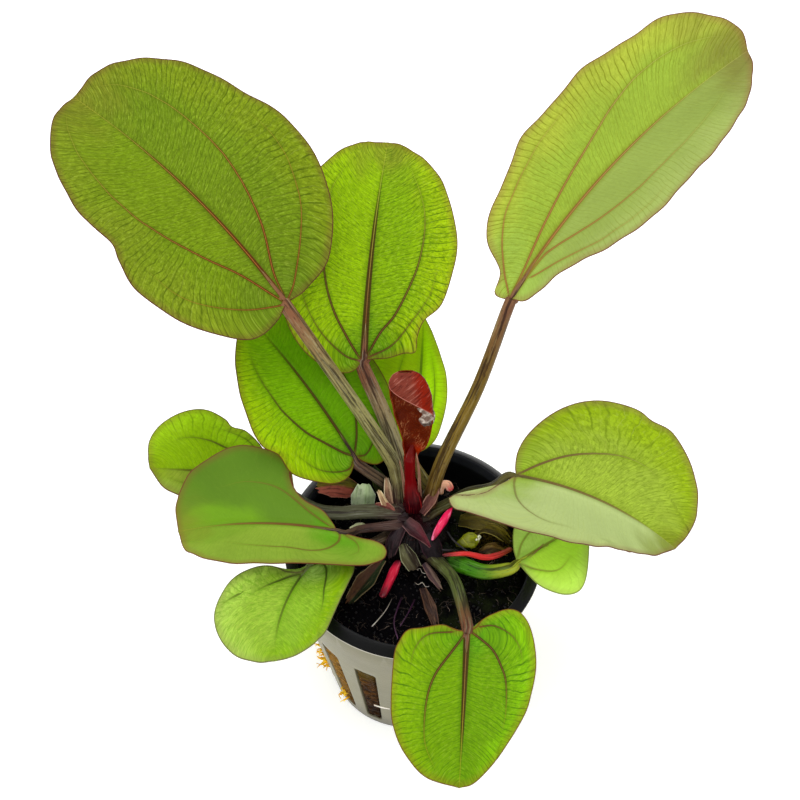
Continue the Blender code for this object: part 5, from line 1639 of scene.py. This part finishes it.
STRAPS = {
    "old_leaf_left": Strap(
        "old_leaf", ((-11.6, 16.0, 46.5), (-15.0, 14.9, 49.2), (-18.6, 13.4, 51.7), (-21.8, 11.6, 53.2)),
        (1.6, 4.6, 5.0, 1.8), (0.1, 0.9, 0.45),
        ((90, 82, 14), (110, 100, 18), (124, 54, 40), (176, 92, 76)), edge=(170, 108, 90), crease=0.25,
        cup=0.1),
    "grey_leaf_stub": Strap(
        "pale_stub", ((-11.4, 12.7, 45.2), (-11.4, 13.7, 48.2), (-11.4, 15.0, 51.0)), (5.0, 5.4, 2.4),
        (1.0, 0.1, 0.0), ((186, 208, 156), (196, 218, 164), (196, 214, 172), (210, 226, 180)),
        edge=(226, 236, 208), streak=(134, 166, 100), cup=0.18),
    "dark_leaf_piece": Strap(
        "old_leaf", ((-6.0, 16.6, 44.2), (-8.0, 18.6, 47.0), (-10.0, 20.4, 49.6)), (3.4, 3.8, 1.8),
        (0.75, 0.5, -0.1), ((34, 58, 20), (44, 74, 26), (52, 56, 20), (64, 74, 30)),
        edge=(74, 84, 40)),
    "papery_sheath_rear": Strap(
        "sheath", ((-4.6, 9.0, 50.0), (-5.8, 12.0, 52.0), (-6.6, 14.6, 54.6)), (1.6, 2.1, 0.6),
        (0.9, 0.3, 0.0), ((110, 70, 56), (188, 166, 130), (64, 26, 22), (150, 116, 88)),
        edge=(220, 202, 168), streak=(88, 48, 36), cup=0.5, ragged=0.2, thickness=0.18),
    "papery_sheath_side": Strap(
        "sheath", ((-4.8, 7.4, 50.4), (-6.6, 9.6, 51.9), (-8.2, 12.0, 53.4)), (1.3, 1.6, 0.7),
        (0.8, 0.5, 0.0), ((124, 80, 62), (212, 190, 142), (84, 40, 32), (176, 144, 104)),
        edge=(226, 206, 166), streak=(96, 52, 38), cup=0.5, ragged=0.25, thickness=0.18),
    "pointed_bract": Strap(
        "old_leaf", ((-1.9, 5.5, 51.3), (0.4, 3.6, 50.8), (2.4, 1.9, 49.8), (3.6, 0.8, 48.9)),
        (2.6, 3.2, 1.8, 0.5), (0.7, 0.7, 0.25),
        ((66, 40, 40), (92, 8, 32), (24, 8, 12), (64, 4, 20)), edge=(112, 76, 74),
        streak=(80, 50, 50), streaks=0.4, cup=-0.35, ragged=0.0, gloss=0.34),
    "pale_stub": Strap(
        "pale_stub", ((-2.4, 2.0, 47.6), (-0.8, -0.8, 46.8), (0.9, -3.4, 46.0)), (1.8, 3.6, 3.0),
        (0.8, 0.5, 0.0), ((40, 30, 16), (36, 24, 14), (96, 96, 60), (52, 40, 22)),
        edge=(158, 160, 124), streak=(28, 22, 12), cup=-0.3, gloss=0.36),
    "dried_leaf": Strap(
        "old_leaf", ((-6.4, -0.4, 44.9), (-9.6, -6.0, 45.6), (-13.4, -12.4, 45.8)), (1.6, 4.4, 1.8),
        (0.8, -0.6, 0.1), ((34, 52, 22), (24, 44, 20), (62, 34, 20), (92, 60, 36)),
        edge=(134, 116, 84), streak=(48, 26, 16), crease=0.3, cup=0.2, ragged=0.15),
    "pink_sheath": Strap(
        "sheath", ((2.6, -1.2, 45.4), (4.6, -4.9, 45.9), (6.6, -8.0, 46.1)), (1.4, 1.9, 0.8),
        (0.8, 0.5, 0.1), ((88, 66, 62), (122, 102, 84), (48, 28, 38), (92, 66, 62)),
        edge=(128, 100, 90), streak=(34, 16, 24), cup=-0.4, ragged=0.2, thickness=0.2),
    "stringy_leaf": Strap(
        "old_leaf", ((2.4, -7.0, 44.8), (4.2, -12.0, 45.2), (5.8, -17.0, 44.6)), (1.4, 2.6, 1.2),
        (1.0, 0.3, 0.0), ((30, 12, 10), (44, 22, 16), (36, 16, 12), (54, 32, 22)),
        edge=(88, 60, 44), streak=(110, 80, 58), streaks=0.5, ragged=0.3),
    "crown_sheath_front": Strap(
        "", ((2.4, 3.4, 49.6), (4.0, 1.0, 48.4), (5.4, -1.2, 46.4)), (3.6, 4.4, 3.0), (0.9, 0.5, 0.2),
        ((16, 4, 10), (8, 2, 8), (22, 6, 14), (10, 4, 8)), edge=(58, 26, 40), streak=(40, 16, 26),
        cup=-0.4, ragged=0.2),
    "crown_sheath_left": Strap(
        "", ((-3.0, 4.6, 50.2), (-4.4, 1.6, 49.0), (-5.0, -1.4, 46.4)), (2.6, 3.2, 1.6), (0.9, -0.2, 0.2),
        ((30, 12, 16), (12, 4, 10), (22, 8, 14), (14, 6, 12)), edge=(86, 56, 60), streak=(60, 34, 40),
        cup=-0.4, ragged=0.25),
    "crown_sheath_back": Strap(
        "", ((1.4, 7.6, 51.4), (3.2, 9.8, 53.4), (5.0, 12.0, 55.6)), (1.8, 2.6, 0.7), (0.9, -0.5, 0.1),
        ((70, 30, 30), (128, 86, 72), (54, 16, 18), (104, 60, 50)), edge=(156, 116, 98),
        streak=(92, 56, 46), cup=-0.5, ragged=0.2, thickness=0.18),
    "crown_curl": Strap(
        "", ((-8.6, 9.4, 51.2), (-6.4, 9.0, 51.5), (-4.2, 8.0, 51.0)), (0.8, 1.9, 0.9), (0.0, 0.8, 0.5),
        ((96, 34, 28), (112, 60, 50), (70, 22, 18), (84, 36, 30)), edge=(176, 134, 108),
        streak=(134, 84, 66), cup=-0.4, ragged=0.2, thickness=0.18),
    "pale_scrap": Strap(
        "", ((-13.6, 4.6, 48.0), (-12.2, 5.4, 48.3), (-10.6, 6.4, 48.2)), (1.3, 1.7, 0.5), (0.3, 0.8, 0.3),
        ((206, 210, 160), (214, 218, 170), (150, 158, 96), (190, 196, 140)), edge=(216, 218, 176),
        streak=(140, 150, 90), streaks=0.3, ragged=0.2),
    "young_sheath_right": Strap(
        "", ((0.9, 9.6, 52.6), (0.3, 12.2, 60.6), (-0.5, 13.4, 65.6)), (0.9, 0.6, 0.15), (1.0, 0.0, 0.2),
        ((50, 12, 14), (186, 138, 112), (66, 22, 20), (204, 168, 138)), edge=(150, 100, 82),
        streak=(150, 90, 74), cup=-0.3, ragged=0.1, thickness=0.16),
    "young_sheath_left": Strap(
        "", ((-2.0, 9.6, 52.6), (-3.1, 11.8, 59.4), (-4.0, 12.6, 64.0)), (0.9, 0.6, 0.15), (1.0, 0.0, 0.2),
        ((60, 20, 20), (176, 150, 118), (44, 10, 14), (160, 120, 96)), edge=(150, 112, 90),
        streak=(140, 86, 72), cup=-0.3, ragged=0.1, thickness=0.16),
    "clump_rear": Strap(
        "", ((9.8, 11.6, 43.6), (13.2, 10.8, 45.8), (17.4, 9.6, 46.4), (20.4, 7.6, 45.6)),
        (2.8, 5.2, 5.0, 3.0), (0.1, 1.0, 0.2), ((78, 68, 14), (108, 96, 24), (52, 44, 8), (116, 102, 30)),
        edge=(140, 128, 56), streak=(34, 26, 4), cup=-0.2, crease=0.3, ragged=0.35),
    "clump_middle": Strap(
        "", ((12.6, 6.6, 44.4), (15.6, 7.6, 46.6), (18.6, 6.4, 46.8), (21.2, 4.6, 45.6)),
        (2.0, 4.4, 4.2, 2.4), (0.0, 1.0, -0.2), ((94, 82, 16), (128, 114, 30), (40, 32, 6), (84, 72, 18)),
        edge=(150, 136, 62), streak=(38, 28, 4), cup=0.3, crease=-0.25, ragged=0.35),
    "clump_front": Strap(
        "", ((14.4, 3.2, 44.2), (17.0, 3.4, 45.8), (20.6, 3.0, 45.2)), (1.6, 2.8, 1.6), (0.2, 0.9, 0.3),
        ((84, 58, 18), (112, 86, 30), (42, 26, 8), (70, 50, 16)), edge=(126, 106, 54),
        streak=(30, 20, 4), cup=-0.3, ragged=0.35),
}


def noise_grid(first, second, third):
    """Soft noise from -1 to 1 over arrays of coordinates."""
    first, second, third = np.broadcast_arrays(first, second, third)
    values = [noise.noise(Vector(spot)) for spot in zip(first.flat, second.flat, third.flat)]
    return np.array(values).reshape(first.shape)


def make_strap(name, strap):
    path = spline(strap.path, STRAP_ROWS)
    length = steps_of(path).sum()
    _, sides, ups = carried(path, np.array(strap.across))
    t = np.linspace(0.0, 1.0, STRAP_ROWS + 1)[:, None]
    s = np.linspace(-1.0, 1.0, STRAP_COLUMNS + 1)[None, :]
    seed = 3.7 * len(name)
    torn = strap.ragged * (0.5 + noise_grid(3.1 * s, seed, 0.0)) * (0.3 + np.abs(s))
    along = np.clip(t * (1.0 - torn), 0.0, 1.0)
    below = np.minimum((along * STRAP_ROWS).astype(int), STRAP_ROWS - 1)
    rest = (along * STRAP_ROWS - below)[..., None]

    def at(values):
        return values[below] * (1.0 - rest) + values[below + 1] * rest

    half = 0.5 * np.interp(along, np.linspace(0.0, 1.0, len(strap.widths)), strap.widths)
    wrinkle = noise_grid(0.5 * t * length, 2.0 * s, seed)
    raised = (strap.cup * half * (s * s - 0.5) - strap.crease * half * (1.0 - np.abs(s))
              + STRAP_WRINKLE * wrinkle)
    middle = at(path) + at(sides) * (half * s)[..., None] + at(ups) * raised[..., None]
    skin = Skin()
    add_sheet(skin, middle, strap.thickness * (1.0 - 0.5 * s * s) + 0 * t,
              place=np.stack([along, (s + 1) / 2 + 0 * t, half * (1.0 - np.abs(s))], -1),
              net=np.stack([along * length, half * s, np.full(half.shape, seed)], -1))

    finish = Finish(name)
    share, across, edge = finish.split(finish.mark("place"))
    run, out, other = finish.split(finish.mark("net"))
    left_start, left_end, right_start, right_end = [paint(*tone) for tone in strap.colours]
    clouds = finish.cloud(finish.joined(run, out, other), 0.7, 4.0, 0.6)
    streaks = finish.cloud(finish.joined(run * 0.22, out * 2.4, other), 1.0, 4.0, 0.65)
    right = finish.mix(share, right_start, right_end)
    left = finish.mix(share, left_start, left_end)
    colour = finish.mix(finish.step(across + (clouds - 0.5) * 0.25, 0.42, 0.58), right, left)
    colour = finish.tint(colour, strap.streak, streaks, 0.5, 0.66, strap.streaks)
    colour = finish.tint(colour, strap.edge, streaks, 0.44, 0.3, 0.4)
    colour = finish.tint(colour, (22, 14, 12), clouds, 0.5, 0.3, 0.35)
    colour = finish.tint(colour, strap.edge, edge + (clouds - 0.5) * 0.2, 0.22, 0.06, 0.8)
    material = finish.surface(colour, strap.gloss + 0.25 * clouds, streaks + clouds, 0.2, 0.9,
                              Specular_IOR_Level=0.18)
    return skin.piece(name + "_grown", [material])


for strap_name, strap in STRAPS.items():
    hand_over(make_strap(strap_name, strap), strap_name, strap.slot)

# The bud at the right of the crown: a small flat olive bud of overlapping scales, wet with a few drops
# of water. Its pale tip and the pale drops are a painted glint. A few pale grains lie round the crown,
# partly white specks and partly painted glints on the wet medium.

BUD_PATH = ((9.2, 3.9, 45.4), (11.6, 4.4, 46.6), (14.2, 4.7, 46.9))
BUD_ACROSS = np.array((0.1, 0.9, 0.3))
BUD_HALF_WIDTHS = ((0.0, 0.4), (0.12, 0.8), (0.35, 1.4), (0.6, 1.95), (0.8, 1.8), (0.92, 1.0), (1.0, 0.3))
BUD_FLATNESS = 0.4
BUD_SCALES = 2.0
BUD_SCALE_SLANT = 0.12
BUD_SCALE_STEP = 0.12
BUD_STEPS = 60
BUD_SIDES = 40
BEAD_UNEVENNESS = 0.5
DROPS = ((14.0, 4.4, 47.5), (14.3, 5.0, 47.3), (13.5, 4.1, 47.7), (14.1, 5.5, 47.1), (13.9, 4.8, 47.8))
DROP_RADIUS = 0.24
GRAINS_AND_GLINTS = ((1.2, -2.0, 44.0), (3.9, -3.7, 44.2), (2.8, -3.6, 43.9), (-7.6, 12.6, 45.0),
          (11.4, -14.2, 43.6))
GRAIN_RADIUS = 0.15


def make_bud():
    path = spline(BUD_PATH, BUD_STEPS)
    _, sides, ups = carried(path, BUD_ACROSS)
    share = np.linspace(0.0, 1.0, BUD_STEPS + 1)[:, None]
    angle = around(BUD_SIDES)[None, :]
    layer = (BUD_SCALES * (share + BUD_SCALE_SLANT * np.sin(angle + 1.0))) % 1.0
    radius = read_pairs(BUD_HALF_WIDTHS, share) * (1.0 - BUD_SCALE_STEP * layer)
    across = radius * np.cos(angle)
    raised = radius * BUD_FLATNESS * np.sin(angle)
    skin = Skin()
    skin.tube(round_path(path, sides, ups, across, raised),
              place=np.stack([share + 0 * angle, layer, 0 * layer], -1),
              net=np.stack([share * 4 + 0 * angle, across, raised], -1))
    finish = Finish("leaf_bud")
    share, layer, _ = finish.split(finish.mark("place"))
    run, across, raised = finish.split(finish.mark("net"))
    streaks = finish.cloud(finish.joined(run * 0.3, across * 2.5, raised * 2.5), 1.0, 4.0)
    colour = finish.mix(share, paint(70, 74, 8), paint(150, 156, 16))
    colour = finish.tint(colour, (58, 62, 4), streaks, 0.5, 0.36, 0.7)
    colour = finish.tint(colour, (186, 188, 60), layer, 0.86, 1.0, 0.6)
    # Painted glint: the wet tip is painted pale.
    colour = finish.tint(colour, (230, 226, 150), share, 0.9, 0.99, 0.85)
    material = finish.surface(colour, 0.3, streaks, 0.12, 0.9, Specular_IOR_Level=0.25)
    return skin.piece("leaf_bud_grown", [material], sharp=40.0)


def smooth_object(name, shape, material):
    """Make an object, in metres, of a shape that is still in millimetres."""
    bmesh.ops.scale(shape, vec=(MM, MM, MM), verts=shape.verts)
    mesh = bpy.data.meshes.new(name)
    shape.to_mesh(mesh)
    shape.free()
    mesh.shade_smooth()
    mesh.materials.append(material)
    return add_object(name, mesh)


def make_beads(name, places, radius, material):
    """Small uneven balls at the given places, as one piece."""
    shape = bmesh.new()
    for place in places:
        ball = bmesh.ops.create_icosphere(shape, subdivisions=3, radius=radius)
        for vertex in ball["verts"]:
            vertex.co *= 1.0 + BEAD_UNEVENNESS * noise.noise(vertex.co / radius + Vector(place))
        bmesh.ops.translate(shape, vec=place, verts=ball["verts"])
    return smooth_object(name, shape, material)


hand_over(make_bud(), "leaf_bud", "leaf_bud")
# Painted glint: the drops are painted a pale cream.
water = Finish("water_drops").surface(paint(236, 236, 206), 0.05, Specular_IOR_Level=0.8, Coat_Weight=1.0)
hand_over(make_beads("bud_drops", DROPS, DROP_RADIUS, water))
# Partly painted glints: the pale grains stand for white specks and for glints on the wet medium.
grain_and_glint_finish = Finish("pale_grains_and_glints").surface(paint(176, 166, 152), 0.6, Specular_IOR_Level=0.3)
hand_over(make_beads("pale_grains_and_glints", GRAINS_AND_GLINTS, GRAIN_RADIUS, grain_and_glint_finish))

# The pebble: one white grain of stone that lies behind the crown, rough and a little chipped.

PEBBLE = Vector((9.6, 17.8, 44.2))
PEBBLE_RADIUS = 0.95
PEBBLE_SHAPE = (1.0, 0.8, 0.6)
PEBBLE_CHIPS = 0.16


def make_pebble():
    shape = bmesh.new()
    bmesh.ops.create_icosphere(shape, subdivisions=5, radius=PEBBLE_RADIUS)
    for vertex in shape.verts:
        rough = noise.fractal(vertex.co * 1.6, 0.8, 2.0, 4)
        vertex.co *= 1.0 - PEBBLE_CHIPS * abs(rough)
    bmesh.ops.scale(shape, vec=PEBBLE_SHAPE, verts=shape.verts)
    bmesh.ops.translate(shape, vec=PEBBLE, verts=shape.verts)
    finish = Finish("pebble")
    clouds = finish.cloud(finish.place(), 1.4, 5.0, 0.6)
    colour = finish.tint(paint(150, 146, 136), (214, 212, 204), clouds, 0.35, 0.65)
    return smooth_object("pebble_grain", shape, finish.surface(colour, 0.7, clouds, 0.15))


hand_over(make_pebble(), "pebble", "pebble")
